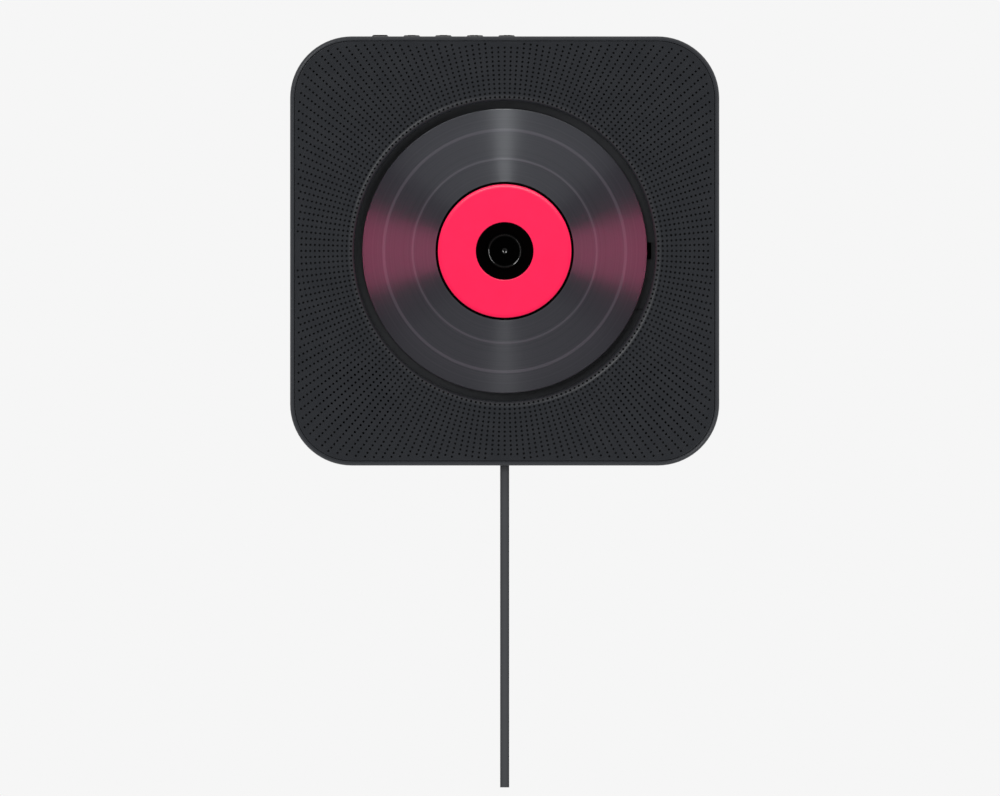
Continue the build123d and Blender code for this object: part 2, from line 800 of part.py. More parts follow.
def sled_rack():
    """Toothed bar on the shoe of the pickup, with its teeth downwards and a gap over the gear."""
    pitch = pi * rack_module
    root_z = rack_pitch_z + tooth_dedendum * rack_module
    tip_z = rack_pitch_z - tooth_addendum * rack_module
    right = rack_left_x + rack_l
    points = [(right, rack_top_z), (rack_left_x, rack_top_z), (rack_left_x, root_z)]
    first = -int((gear_x - rack_left_x) / pitch)
    last = int((right - gear_x) / pitch)
    for n in range(first, last):
        middle = gear_x + (n + 0.5) * pitch
        points += [
            (middle - tooth_root_share * pitch, root_z),
            (middle - tooth_tip_share * pitch, tip_z),
            (middle + tooth_tip_share * pitch, tip_z),
            (middle + tooth_root_share * pitch, root_z),
        ]
    points.append((right, root_z))
    return slab(Polygon(*points, align=None), rack_rear_d, rack_rear_d + rack_t)


def gear_outline(teeth, module, tooth_angle):
    """Gear with straight flanks; one tooth points along tooth_angle, from +x towards +z."""
    pitch_r = module * teeth / 2
    root_r = pitch_r - tooth_dedendum * module
    tip_r = pitch_r + tooth_addendum * module
    points = []
    for n in range(teeth):
        for radius, share in (
            (root_r, -tooth_root_share),
            (tip_r, -tooth_tip_share),
            (tip_r, tooth_tip_share),
            (root_r, tooth_root_share),
        ):
            angle = radians(tooth_angle + 360 * (n + share) / teeth)
            points.append((radius * cos(angle), radius * sin(angle)))
    return Polygon(*points, align=None)


def sled_gear():
    """Compound gear: a small gear under the rack and a large wheel behind the pickup."""
    place = Pos(gear_x, gear_z)
    small_front_d = rack_rear_d + rack_t + small_gear_overlap
    small_rear_d = rack_rear_d - small_gear_overlap
    small = gear_outline(rack_gear_teeth, rack_module, 90)
    large = gear_outline(wheel_teeth, wheel_module, sled_motor_angle)
    gear = slab(place * small, small_rear_d, small_front_d)
    gear += rod(gear_hub_r, wheel_rear_d, small_rear_d, gear_x, gear_z)
    gear += slab(place * large, wheel_rear_d, wheel_front_d)
    gear -= rod(shaft_r + shaft_fit, wheel_rear_d, small_front_d, gear_x, gear_z)
    return gear


def sled_gear_pin():
    """Fixed pin of the compound gear, pressed into the chassis and headed at its end."""
    head_d = wheel_rear_d - shaft_fit - gear_pin_head_t
    pin = rod(shaft_r, head_d, chassis_front_d, gear_x, gear_z)
    return pin + rod(gear_pin_head_r, head_d, head_d + gear_pin_head_t, gear_x, gear_z)


def sled_motor():
    """Small can motor under the chassis, with its shaft towards the wall."""
    bore_r = sled_motor_shaft_r + shaft_fit
    return tube(sled_motor_r, bore_r, pickup_rear_d, chassis_rear_d, sled_motor_x, sled_motor_z)


def sled_pinion():
    place = Pos(sled_motor_x, sled_motor_z)
    gap_angle = sled_motor_angle + 180 + 180 / motor_pinion_teeth
    outline = place * gear_outline(motor_pinion_teeth, wheel_module, gap_angle)
    gear = slab(outline, wheel_rear_d, wheel_front_d)
    return gear - rod(sled_motor_shaft_r, wheel_rear_d, wheel_front_d, sled_motor_x, sled_motor_z)


def sled_motor_shaft():
    end_d = chassis_rear_d - sled_motor_cap_t
    return rod(sled_motor_shaft_r, wheel_rear_d, end_d, sled_motor_x, sled_motor_z)


def lens_holder():
    """Plate over the bay of the pickup with a round barrel for the lens."""
    far = holder_rear_d + holder_t
    outline = Pos(lens_home_x, 0) * Rectangle(holder_l, holder_w)
    barrel_front_d = lens_front_d - barrel_wall_drop
    holder = slab(outline, holder_rear_d, far) + rod(barrel_r, far, barrel_front_d, lens_home_x, 0)
    return holder - rod(lens_r, barrel_front_d - lens_edge_t, barrel_front_d, lens_home_x, 0)


def objective_lens():
    """Domed lens seated in the mouth of the barrel."""
    seat_d = lens_front_d - barrel_wall_drop - lens_edge_t
    rim_d = seat_d + lens_edge_t
    edge = Polyline((0, -lens_front_d), (0, -seat_d), (lens_r, -seat_d), (lens_r, -rim_d))
    dome = TangentArc((0, -lens_front_d), (lens_r, -rim_d), tangent=(1, 0))
    return Pos(lens_home_x, 0, 0) * revolve(make_face((edge + dome).edges()), Axis.Y)


def lens_magnets():
    """Two magnets in the bay, one each side of the lens holder."""
    near = pickup_front_d - bay_depth
    inner = bay_w / 2 + magnet_gap
    solids = []
    for x0 in (lens_home_x - inner - magnet_t, lens_home_x + inner):
        solids.append(block(x0, x0 + magnet_t, near, near + magnet_h, -magnet_w / 2, magnet_w / 2))
    return group(solids)


# ================================================================ speakers
def speaker_places():
    return [(-speaker_at, -speaker_at), (speaker_at, -speaker_at)]


def speaker_screw_places(x, z):
    reach = speaker_r - speaker_seat_w / 2
    angles = [radians(45 + 90 * n) for n in range(4)]
    return [(x + reach * cos(a), z + reach * sin(a)) for a in angles]


def all_speaker_screws():
    return [place for x, z in speaker_places() for place in speaker_screw_places(x, z)]


def speaker_frames():
    """Two baskets, each a flange, a cone with windows and a back ring."""
    flange_d = speaker_d - speaker_flange_t
    back_d = flange_d - basket_h
    inner = speaker_r - speaker_flange_w
    profile = [
        (speaker_r, speaker_d),
        (inner, speaker_d),
        (inner, flange_d),
        (basket_back_r - basket_t, back_d + basket_t),
        (magnet_r / 2, back_d + basket_t),
        (magnet_r / 2, back_d),
        (basket_back_r, back_d),
        (inner + basket_t, flange_d),
        (speaker_r, flange_d),
    ]
    solids = []
    ribs = Rectangle(2 * speaker_r, basket_rib_w) + Rectangle(basket_rib_w, 2 * speaker_r)
    windows = Circle(speaker_r) - ribs
    for x, z in speaker_places():
        basket = turned(profile, x, z)
        basket -= slab(Pos(x, z) * windows, back_d + basket_t, flange_d)
        for sx, sz in speaker_screw_places(x, z):
            basket -= rod(screw_r + shaft_fit, flange_d, speaker_d, sx, sz)
        solids.append(basket)
    return group(solids)


def speaker_cones():
    """Paper cone, rubber roll and dust cap of each speaker."""
    outer = speaker_r - speaker_flange_w - cone_gap
    edge_d = speaker_d - speaker_flange_t / 2
    roll_d = edge_d + roll_h / 2
    neck_r = dust_cap_r
    profile = [
        (outer, edge_d),
        (outer - roll_w / 2, roll_d),
        (outer - roll_w, edge_d),
        (neck_r, edge_d - cone_h),
        (0, edge_d - cone_h + dust_cap_h),
        (0, edge_d - cone_h + dust_cap_h - cone_t),
        (neck_r, edge_d - cone_h - cone_t),
        (outer - roll_w, edge_d - cone_t),
        (outer, edge_d - cone_t),
    ]
    return group([turned(profile, x, z) for x, z in speaker_places()])


def speaker_magnets():
    back_d = speaker_d - speaker_flange_t - basket_h
    profile = [
        (0, back_d - magnet_depth - yoke_t),
        (yoke_r, back_d - magnet_depth - yoke_t),
        (yoke_r, back_d - magnet_depth),
        (magnet_r, back_d - magnet_depth),
        (magnet_r, back_d),
        (0, back_d),
    ]
    return group([turned(profile, x, z) for x, z in speaker_places()])


def grille_cloth():
    """Cloth discs glued behind the open sound holes, inside the speaker seats."""
    return group([rod(cloth_r, panel_rear_d - cloth_t, panel_rear_d, x, z) for x, z in speaker_places()])


# ================================================================ keys
def key_post_places():
    return [key_places[0] - key_post_reach, key_places[-1] + key_post_reach]


def key_cap(x, number):
    """Key with chamfered top, a retaining flange, a stem and raised marks."""
    top_z = half_side + key_proud
    cap = upright(SlotOverall(key_l, key_w, rotation=90), x, key_depth, key_flange_z, top_z)
    cap = chamfer(cap.faces().sort_by(Axis.Z)[-1].edges(), key_chamfer)
    flange = SlotOverall(key_l + 2 * key_flange_w, key_w + 2 * key_flange_w, rotation=90)
    cap += upright(flange, x, key_depth, key_flange_z - key_flange_t, key_flange_z)
    cap += upright(Rectangle(key_stem_w, key_stem_w), x, key_depth, key_foot_z, key_flange_z)
    for mark in key_marks(number):
        cap += upright(mark, x, key_depth, top_z, top_z + key_mark_h)
    return cap


def key_marks(number):
    """Raised marks, seen from above: a pad, a minus, a plus, and arrows with a bar each way."""
    bar = Rectangle(key_mark_l, key_mark_w)
    step = 1.5 * key_arrow_r + key_mark_gap
    stop_x = step / 2 + key_arrow_r + key_mark_gap
    arrows = [
        Pos(-step / 2, 0) * RegularPolygon(key_arrow_r, 3),
        Pos(step / 2, 0) * RegularPolygon(key_arrow_r, 3),
        Pos(stop_x, 0) * Rectangle(key_mark_gap, 2 * key_arrow_r),
    ]
    marks = [
        [SlotOverall(key_l - 2 * key_pad_inset, key_w - 2 * key_pad_inset, rotation=90)],
        [bar],
        [bar + Rectangle(key_mark_w, key_mark_l)],
        [Rot(0, 0, 180) * arrow for arrow in arrows],
        arrows,
    ]
    return marks[number]


def key_board():
    """Narrow board under the keys, screwed to two posts of the top wall."""
    x0 = key_places[0] - key_board_reach
    x1 = key_places[-1] + key_board_reach
    outline = RectangleRounded(x1 - x0, key_board_w, key_post_r / 2)
    board = upright(outline, (x0 + x1) / 2, key_depth, key_board_z - key_board_t, key_board_z)
    for x in key_post_places():
        board -= upright(Circle(screw_r), x, key_depth, key_board_z - key_board_t, key_board_z)
    return board


def key_switches():
    """Five tact switches with round domes."""
    solids = []
    for x in key_places:
        top_z = key_board_z + switch_h
        base = upright(Rectangle(switch_side, switch_side), x, key_depth, key_board_z, top_z)
        solids.append(base + upright(Circle(switch_dome_r), x, key_depth, top_z, top_z + switch_dome_h))
    return group(solids)


def key_board_screws():
    solids = []
    low = key_board_z - key_board_t
    for x in key_post_places():
        head = upright(Circle(screw_head_r), x, key_depth, low - screw_head_t, low)
        solids.append(head + upright(Circle(screw_r), x, key_depth, low, key_board_z))
    return group(solids)


# ================================================================ boards and sockets
def board_post_places():
    x0 = board_left + board_post_inset
    x1 = board_right - board_post_inset
    z = board_half_h - board_post_inset
    tab_x = tab_half_w - board_post_inset
    tab_z = tab_bottom + tab_post_rise
    return [(x0, -z), (x0, z), (x1, z), (-tab_x, tab_z), (tab_x, tab_z)]


def main_board():
    """Board behind the drive with a tab down to the sockets and the pull switch."""
    wide = Pos((board_left + board_right) / 2, 0) * Rectangle(board_right - board_left, 2 * board_half_h)
    tab = Pos(0, (tab_bottom - board_half_h) / 2) * Rectangle(2 * tab_half_w, -tab_bottom - board_half_h)
    outline = wide + tab
    outline -= [Pos(x, z) * Circle(screw_r) for x, z in board_post_places()]
    return slab(outline, board_depth, board_front_d)


def board_parts():
    """Decoder chip, motor driver and a row of capacitors on the front of the main board."""
    decoder = Pos(decoder_x, decoder_z) * Rectangle(decoder_side, decoder_side)
    driver = Pos(driver_x, driver_z) * Rectangle(driver_side, driver_side)
    solids = [slab(chip, board_front_d, board_front_d + chip_h) for chip in (decoder, driver)]
    x = board_left + capacitor_inset
    for n in range(capacitors):
        z = capacitor_pitch * (n - (capacitors - 1) / 2)
        solids.append(rod(capacitor_r, board_front_d, board_front_d + capacitor_h, x, z))
    return group(solids)


def jack_noses():
    """x, depth and nose radius of the power and audio sockets."""
    dc_d = board_front_d + dc_t / 2
    audio_d = board_front_d + audio_t / 2
    return [
        (jack_x, dc_d, dc_bore_r + jack_nose_wall),
        (-jack_x, audio_d, audio_bore_r + jack_nose_wall),
    ]


def jack(place, section, height, bore_r, bore_l):
    """Socket block on the tab of the board; its round nose ends flush in the bottom wall."""
    x, depth, nose_r = place
    solid = upright(section, x, depth, -half_inside, -half_inside + height)
    solid += upright(Circle(nose_r), x, depth, -half_side, -half_inside)
    return solid - upright(Circle(bore_r), x, depth, -half_side, -half_side + bore_l)


def dc_jack():
    x, depth, nose_r = jack_noses()[0]
    pin = upright(Circle(dc_pin_r), x, depth, -half_side + jack_nose_wall, -half_side + dc_bore_l)
    return jack((x, depth, nose_r), Rectangle(dc_w, dc_t), dc_h, dc_bore_r, dc_bore_l) + pin


def audio_jack():
    return jack(jack_noses()[1], Rectangle(audio_w, audio_t), audio_h, audio_bore_r, audio_bore_l)


# ================================================================ pull cord
def cord_bushing():
    """Ring in the bottom wall with a bell mouth for the cord."""
    bore_r = cord_r + cord_fit
    flange_z = -half_inside + bushing_flange_t
    ring = upright(Circle(bushing_r), 0, cord_depth, -half_side, -half_inside)
    ring += upright(Circle(bushing_r + bushing_flange_w), 0, cord_depth, -half_inside, flange_z)
    ring -= upright(Circle(bore_r), 0, cord_depth, -half_side, flange_z)
    bell = Cone(bell_r, bore_r, bell_h, align=(Align.CENTER, Align.CENTER, Align.MIN))
    return ring - Pos(0, -cord_depth, -half_side) * bell


def pull_switch():
    """Upright guide on the tab of the board, bored for the slider."""
    side_d = 2 * (cord_depth - board_front_d)
    guide = upright(Rectangle(guide_side, side_d), 0, cord_depth, guide_z, guide_z + guide_h)
    guide -= upright(Circle(guide_bore_r), 0, cord_depth, guide_z + guide_floor_t, guide_z + guide_h)
    return guide - upright(Circle(cord_r + cord_fit), 0, cord_depth, guide_z, guide_z + guide_floor_t)


def pull_slider():
    """Piston that grips the upper end of the cord."""
    piston = upright(Circle(guide_bore_r - slider_fit), 0, cord_depth, slider_z, slider_top_z)
    return piston - upright(Circle(cord_r), 0, cord_depth, slider_z, slider_z + cord_grip_l)


def pull_spring():
    """Open coil spring between the floor of the guide and the slider."""
    low = guide_z + guide_floor_t + spring_gap
    height = slider_z - spring_gap - low - spring_wire
    path = Helix(pitch=height / spring_turns, height=height, radius=spring_r)
    section = Plane(origin=path @ 0, z_dir=path % 0) * Rectangle(spring_wire, spring_wire)
    return Pos(0, -cord_depth, low + spring_wire / 2) * sweep(section, path, is_frenet=True)


def pull_cord():
    return upright(Circle(cord_r), 0, cord_depth, cord_end_z, slider_z + cord_grip_l)


# ================================================================ the whole player
parts = {
    "wall_bracket": wall_bracket(),
    "bracket_studs": bracket_studs(),
    "housing_shell": housing_shell(),
    "grille_panel": grille_panel(),
    "grille_cloth": grille_cloth(),
    "disc_well": disc_well(),
    "mechanism_cover": mechanism_cover(),
    "rear_cover": rear_cover(),
    "rear_screws": screws(rear_screw_places(), rear_d + screw_head_t, screw_bite),
    "well_screws": screws(ear_places(), ear_rear_d, ear_t + ear_screw_bite),
    "wall_pads": group([rod(pad_r, 0, pad_t, x, z) for x, z in corners(pad_at, pad_at)]),
    "disc": disc(),
    "disc_label": disc_label(),
    "turntable": turntable(),
    "platter_pad": platter_pad(),
    "clamp_claws": clamp_claws(),
    "spindle_shaft": spindle_shaft(),
    "spindle_motor": spindle_motor(),
    "deck_chassis": deck_chassis(),
    "chassis_dampers": chassis_dampers(),
    "deck_screws": screws(damper_places(), deck_screw_face_d, deck_screw_l, 1, deck_screw_head_r),
    "guide_rods": group([guide_rod(rod_z), guide_rod(-rod_z)]),
    "pickup_body": pickup_body(),
    "sled_rack": sled_rack(),
    "lens_holder": lens_holder(),
    "objective_lens": objective_lens(),
    "lens_magnets": lens_magnets(),
    "sled_gear": sled_gear(),
    "sled_gear_pin": sled_gear_pin(),
    "sled_motor": sled_motor(),
    "sled_motor_shaft": sled_motor_shaft(),
    "sled_pinion": sled_pinion(),
    "speaker_frames": speaker_frames(),
    "speaker_cones": speaker_cones(),
    "speaker_magnets": speaker_magnets(),
    "speaker_screws": screws(all_speaker_screws(), speaker_d - speaker_flange_t, speaker_screw_l),
    "main_board": main_board(),
    "board_parts": board_parts(),
    "board_screws": screws(board_post_places(), board_front_d, board_t + board_screw_bite, -1),
    "dc_jack": dc_jack(),
    "audio_jack": audio_jack(),
    "key_board": key_board(),
    "key_switches": key_switches(),
    "key_board_screws": key_board_screws(),
    "cord_bushing": cord_bushing(),
    "pull_switch": pull_switch(),
    "pull_slider": pull_slider(),
    "pull_spring": pull_spring(),
    "pull_cord": pull_cord(),
}
for number, name in enumerate(key_names):
    parts[name] = key_cap(key_places[number], number)

os.makedirs("parts", exist_ok=True)
for name, shape in parts.items():
    export_step(shape, f"parts/{name}.step")
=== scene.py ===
import json
import math

import bmesh
import bpy
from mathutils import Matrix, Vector
from mathutils.geometry import delaunay_2d_cdt


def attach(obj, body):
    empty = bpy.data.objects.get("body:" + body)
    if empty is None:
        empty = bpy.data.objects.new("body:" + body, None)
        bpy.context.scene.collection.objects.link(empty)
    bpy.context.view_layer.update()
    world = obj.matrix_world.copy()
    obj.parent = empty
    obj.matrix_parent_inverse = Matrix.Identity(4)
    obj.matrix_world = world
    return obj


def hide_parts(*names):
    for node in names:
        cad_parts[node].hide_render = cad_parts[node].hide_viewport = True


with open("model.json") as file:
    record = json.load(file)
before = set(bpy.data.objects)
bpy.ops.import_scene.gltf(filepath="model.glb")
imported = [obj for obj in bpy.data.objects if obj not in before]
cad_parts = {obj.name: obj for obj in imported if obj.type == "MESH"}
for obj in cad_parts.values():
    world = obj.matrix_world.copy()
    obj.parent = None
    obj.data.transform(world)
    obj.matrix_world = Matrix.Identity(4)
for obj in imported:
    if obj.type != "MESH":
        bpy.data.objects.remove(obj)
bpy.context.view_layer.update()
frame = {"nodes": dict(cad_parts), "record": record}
nodes = frame["nodes"]
scene = bpy.context.scene

# Lengths are in metres. x runs right, z up, and depth is measured from the wall, so y is minus the depth.
MM = 0.001
TURN = 2 * math.pi
X, Y = 0, 1
WHITE = (1.0, 1.0, 1.0, 1.0)
FRONTWARDS, BACKWARDS = (0.0, -1.0, 0.0), (0.0, 1.0, 0.0)


def reach(name, axis, sign=1):
    """How far a solid reaches along an axis of the frame, or against it, at rest."""
    return max(sign * corner[axis] for corner in nodes[name].bound_box)


# what the solids give
CASING_HALF = reach("housing_shell", X)
PANEL_FRONT = reach("housing_shell", Y, -1)
DISC_RIM = reach("disc", X)
DISC_FRONT = reach("disc", Y, -1)
DISC_REAR = -reach("disc", Y)
LABEL_RADIUS = reach("disc_label", X)
CLOTH_RIGHT = reach("grille_cloth", X)
BOSS_FRONT = reach("turntable", Y, -1)

# the camera looks square at the wall
CAMERA_X = -1.97 * MM
CAMERA_Z = -62.01 * MM
CAMERA_FAR = 12.0  # from the front of the player
FRAME_WIDE = 0.42165  # what the picture spans there
SENSOR = 36.0  # width in mm, as Blender takes it

# the pull cord, from its slider down through the casing's hole to its bare end
CORD_TOP = -63.2 * MM
CORD_EXIT = -90.5 * MM
CORD_BETWEEN = (-135.0 * MM, -181.0 * MM)
CORD_END = -226.5 * MM
CORD_DEPTH = 18.0 * MM
CORD_RADIUS = 1.9 * MM

# the front panel, set into the casing's rim
CASING_CORNER = 26.0 * MM
PANEL_INSET = 2.05 * MM
PANEL_EDGE = 0.2 * MM  # rounding of its outer edge
PANEL_THICK = 1.8 * MM
PANEL_HALF = CASING_HALF - PANEL_INSET
PANEL_CORNER = CASING_CORNER - PANEL_INSET
PANEL_REAR = PANEL_FRONT - PANEL_THICK

# the panel's rolled lip round the well, and the collar under it that meets the tray's wall
WELL_RADIUS = DISC_RIM + 3.4 * MM
TRAY_RADIUS = WELL_RADIUS + 1.8 * MM
LIP_RADIUS = 3.0 * MM  # of the roll
LIP_OUTER = WELL_RADIUS + LIP_RADIUS
COLLAR = PANEL_FRONT - LIP_RADIUS - 1.5 * MM
LIP_RINGS = (6, 12, 18, 43, 51)  # degrees round the lip of the loops among its holes
LIP_INNER = 60  # and of the end of the part with holes
LIP_LAST = (68, 76, 83, 90)  # and of the loops after it

# the sound holes, on spokes of the disc, which are open only over the cloth of the two speakers
SPOKES = 200
HOLE_RADIUS = 0.48 * MM
HOLE_SIDES = 8
BLIND_DEPTH = 1.6 * MM
FIRST_RING = LIP_OUTER + 0.3 * MM
RING_PITCH = 1.906 * MM
LIP_RING = WELL_RADIUS + LIP_RADIUS / 2
PATTERN_INSET = 3.2 * MM
PATTERN_HALF = CASING_HALF - PATTERN_INSET
PATTERN_CORNER = CASING_CORNER - PATTERN_INSET
CLOTH_RADIUS = 15.8 * MM
OPEN_RADIUS = CLOTH_RADIUS - HOLE_RADIUS
SPEAKER_AT = CLOTH_RIGHT - CLOTH_RADIUS  # to the side and down

# points round the turned pieces
DISC_STEPS = 300
RIM_STEPS = 160
PIP_STEPS = 48

# the disc's edges and its middle
FRONT_ROUND = ((0.0, 0.3 * MM), (0.07 * MM, 0.09 * MM), (0.25 * MM, 0.0))  # in from the rim and from the face
REAR_ROUND = ((0.3 * MM, 0.0), (0.08 * MM, 0.1 * MM), (0.0, 0.32 * MM))
DISC_HOLE = 7.5 * MM
HOLE_ROUND = 0.2 * MM
HOLE_DROP = 0.25 * MM
CLAMP_SLOPE = 0.2 * MM
CLAMP_DROP = 0.06 * MM
REAR_CLAMP = (17.0 * MM, 17.2 * MM)

# the turned part of the disc's face, which is flush with the rim only in the bands
FACE_START = 0.6 * MM  # in from the rim
FACE_STEP = 0.3 * MM
FACE_DROP = 0.03 * MM
DISC_BANDS = ((51.0 * MM, 1.2 * MM), (38.8 * MM, 0.9 * MM))  # middle radius and width

# the label, with a rounded outer edge, a small bevel inside and a groove round it in the disc
LABEL_OUTER = LABEL_RADIUS + 0.15 * MM
LABEL_INNER = 12.2 * MM
LABEL_FOOT = 0.2 * MM  # in from the outer edge
LABEL_RISE = 0.3 * MM
LABEL_ROUND = 1.6 * MM
LABEL_DROP = 0.4 * MM
BEVEL_WIDE = 0.1 * MM
BEVEL_HIGH = 0.06 * MM
FLAT_MARGIN = 0.2 * MM  # to a loop that keeps the shading of the label's flat level
LABEL_GROOVE = LABEL_RADIUS + 1.2 * MM
GROOVE_DROP = 0.1 * MM
GROOVE_SLOPE = 0.15 * MM

# the boss in the disc's hole: a low rim and a pip over the end of the spindle
RIM_RADIUS = 7.0 * MM
RIM_INNER = 6.2 * MM
RIM_RISE = 0.25 * MM
RIM_ROUND = 0.5 * MM
PIP_RADIUS = 1.8 * MM
PIP_SINK = 0.5 * MM
PIP_BORE = 0.02 * MM
PIP_FOOT = 0.1 * MM

# brightness of the surroundings, and where along the depth axis one fades into the next
BACKDROP = 0.9216
SIDE_GLOSS = 1.1  # as reflections see the sides
FRONT_GLOSS = 0.1  # and the room in front
AMBIENT = 0.56  # as plain light
FRONT_FADE = (-0.97, -0.6)
REAR_FADE = (-0.6, 0.1)
COOL_WHITE = (0.93, 0.97, 1.0)
PINK = (1.0, 0.12, 0.32)

# the floor is paint under a veil of the backdrop, which thickens between two radii from one share to another
FLOOR_Z = -0.246
FLOOR_RADIUS = 0.6
FLOOR_STEPS = 96
FLOOR_RINGS = 12
FLOOR_SHADES = (0.84, 0.88)
FLOOR_FADE = (0.06, 0.16)
FLOOR_VEIL = (0.6, 1.0)


def srgb(r, g, b):
    """Linear colour of an 8-bit display colour."""
    channels = [c / 255 for c in (r, g, b)]
    linear = [c / 12.92 if c < 0.04045 else ((c + 0.055) / 1.055) ** 2.4 for c in channels]
    return (*linear, 1.0)


# ---------------------------------------------------------------- camera and cord


def make_camera():
    """Long lens square to the wall, as in the photograph."""
    data = bpy.data.cameras.new("camera")
    data.sensor_width = SENSOR
    data.lens = SENSOR * CAMERA_FAR / FRAME_WIDE
    camera = bpy.data.objects.new("camera", data)
    camera.location = (CAMERA_X, -PANEL_FRONT - CAMERA_FAR, CAMERA_Z)
    camera.rotation_euler = (math.pi / 2, 0, 0)
    scene.collection.objects.link(camera)
    scene.camera = camera


def make_cord(material):
    """Pull cord that hangs straight from its slider."""
    curve = bpy.data.curves.new("cord", "CURVE")
    curve.dimensions = "3D"
    curve.bevel_depth = CORD_RADIUS
    curve.bevel_resolution = 6
    curve.resolution_u = 24
    curve.use_fill_caps = True
    spline = curve.splines.new("NURBS")
    heights = [CORD_TOP, CORD_EXIT, *CORD_BETWEEN, CORD_END]
    spline.points.add(len(heights) - 1)
    for point, z in zip(spline.points, heights):
        point.co = (0, -CORD_DEPTH, z, 1)
    spline.order_u = 3
    spline.use_endpoint_u = True
    cord = bpy.data.objects.new("cord", curve)
    scene.collection.objects.link(cord)
    curve.materials.append(material)
    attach(cord, "pull_cord")
    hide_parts("pull_cord")
    return cord


# ---------------------------------------------------------------- materials


class Tree:
    """Adds nodes to a node tree and links them."""

    def __init__(self, tree):
        self.tree = tree

    def add(self, kind, inputs=None, **settings):
        """Adds a node. Its inputs go by name or number."""
        node = self.tree.nodes.new(kind)
        for name, value in settings.items():
            setattr(node, name, value)
        for name, value in (inputs or {}).items():
            self.feed(value, node.inputs[name])
        return node

    def feed(self, value, socket):
        """Links another node's output into a socket, or sets the socket to a plain value."""
        if isinstance(value, bpy.types.NodeSocket):
            self.tree.links.new(value, socket)
        else:
            socket.default_value = value

    def maths(self, operation, a, b=0.0):
        return self.add("ShaderNodeMath", {0: a, 1: b}, operation=operation).outputs[0]

    def distance(self, place, *axes):
        """Distance from the axis that stands square to two axes of a place."""
        apart = self.add("ShaderNodeSeparateXYZ", {"Vector": place})
        squares = [self.maths("MULTIPLY", apart.outputs[a], apart.outputs[a]) for a in axes]
        return self.maths("SQRT", self.maths("ADD", *squares))

    def ramp(self, value, low, high, to_low, to_high, smooth=False):
        """Maps a value from one range to another and holds it at the ends."""
        inputs = {"Value": value, "From Min": low, "From Max": high, "To Min": to_low, "To Max": to_high}
        kind = "SMOOTHSTEP" if smooth else "LINEAR"
        return self.add("ShaderNodeMapRange", inputs, interpolation_type=kind).outputs["Result"]

    def mix(self, factor, a, b):
        """Colour between two others. The numbers are those of the node's colour sockets."""
        return self.add("ShaderNodeMix", {0: factor, 6: a, 7: b}, data_type="RGBA").outputs[2]

    def mix_shader(self, factor, a, b):
        return self.add("ShaderNodeMixShader", {0: factor, 1: a, 2: b}).outputs[0]


class Material(Tree):
    """Builds a material round its Principled shader."""

    def __init__(self, name, **settings):
        self.material = bpy.data.materials.new(name)
        self.material.use_nodes = True
        super().__init__(self.material.node_tree)
        self.shader = self.tree.nodes["Principled BSDF"]
        for socket, value in settings.items():
            self.shader.inputs[socket].default_value = value
        self.place = self.add("ShaderNodeTexCoord").outputs["Object"]

    def noise(self, scale, detail=2.0, roughness=0.5, place=None):
        """Soft noise over the object, the finer the higher the scale."""
        inputs = {"Vector": place or self.place, "Scale": scale, "Detail": detail, "Roughness": roughness}
        return self.add("ShaderNodeTexNoise", inputs).outputs["Fac"]

    def stretched(self, scale):
        """The object's own place, drawn out along the axes with a small scale."""
        return self.add("ShaderNodeMapping", {"Vector": self.place, "Scale": scale}).outputs["Vector"]

    def bump(self, height, distance, normal=None):
        """Normal of a relief, laid over another normal where one is given."""
        inputs = {"Height": height, "Distance": distance, "Strength": 1.0}
        if normal:
            inputs["Normal"] = normal
        return self.add("ShaderNodeBump", inputs).outputs["Normal"]

    def colour(self, value):
        self.feed(value, self.shader.inputs["Base Color"])

    def rough(self, value):
        self.feed(value, self.shader.inputs["Roughness"])

    def normal(self, value):
        self.feed(value, self.shader.inputs["Normal"])


def plastic(name, low, high, rough, grain=4200, depth=0.012, level=0.5):
    """Moulded plastic: soft shifts of colour, a fine spark-eroded grain and a slightly uneven gloss."""
    made = Material(name, **{"Specular IOR Level": level})
    shift = made.noise(34, 3.0)
    made.colour(made.mix(shift, srgb(*low), srgb(*high)))
    made.rough(made.ramp(made.noise(90, 2.0), 0.3, 0.7, rough - 0.05, rough + 0.05))
    made.normal(made.bump(made.noise(grain, 2.0, 0.6), depth * MM))
    return made.material


def metal(name, low, high, rough, stretch=(1, 1, 1), scale=600, depth=0.004):
    """Metal with fine drawn or turned lines along the stretched direction."""
    made = Material(name, Metallic=1.0)
    grain = made.noise(scale, 4.0, 0.6, place=made.stretched(stretch))
    made.colour(made.mix(made.noise(60, 3.0), srgb(*low), srgb(*high)))
    made.rough(made.ramp(grain, 0.2, 0.8, rough - 0.08, rough + 0.1))
    made.normal(made.bump(grain, depth * MM))
    return made.material


def make_casing(name, shade):
    """Dark grey polycarbonate with a fine satin texture. The shade is its darkest display red."""
    made = Material(name, **{"Specular IOR Level": 0.3})
    cloud = made.noise(26, 3.0)
    speck = made.ramp(made.noise(5200, 1.0), 0.62, 0.78, 0.0, 0.22)
    base = made.mix(cloud, srgb(shade, shade + 2, shade + 6), srgb(shade + 3, shade + 5, shade + 9))
    made.colour(made.mix(speck, base, srgb(shade + 20, shade + 23, shade + 28)))
    made.rough(made.ramp(made.noise(120, 2.0), 0.3, 0.7, 0.29, 0.35))
    made.normal(made.bump(made.noise(3600, 3.0, 0.6), 0.010 * MM))
    return made.material


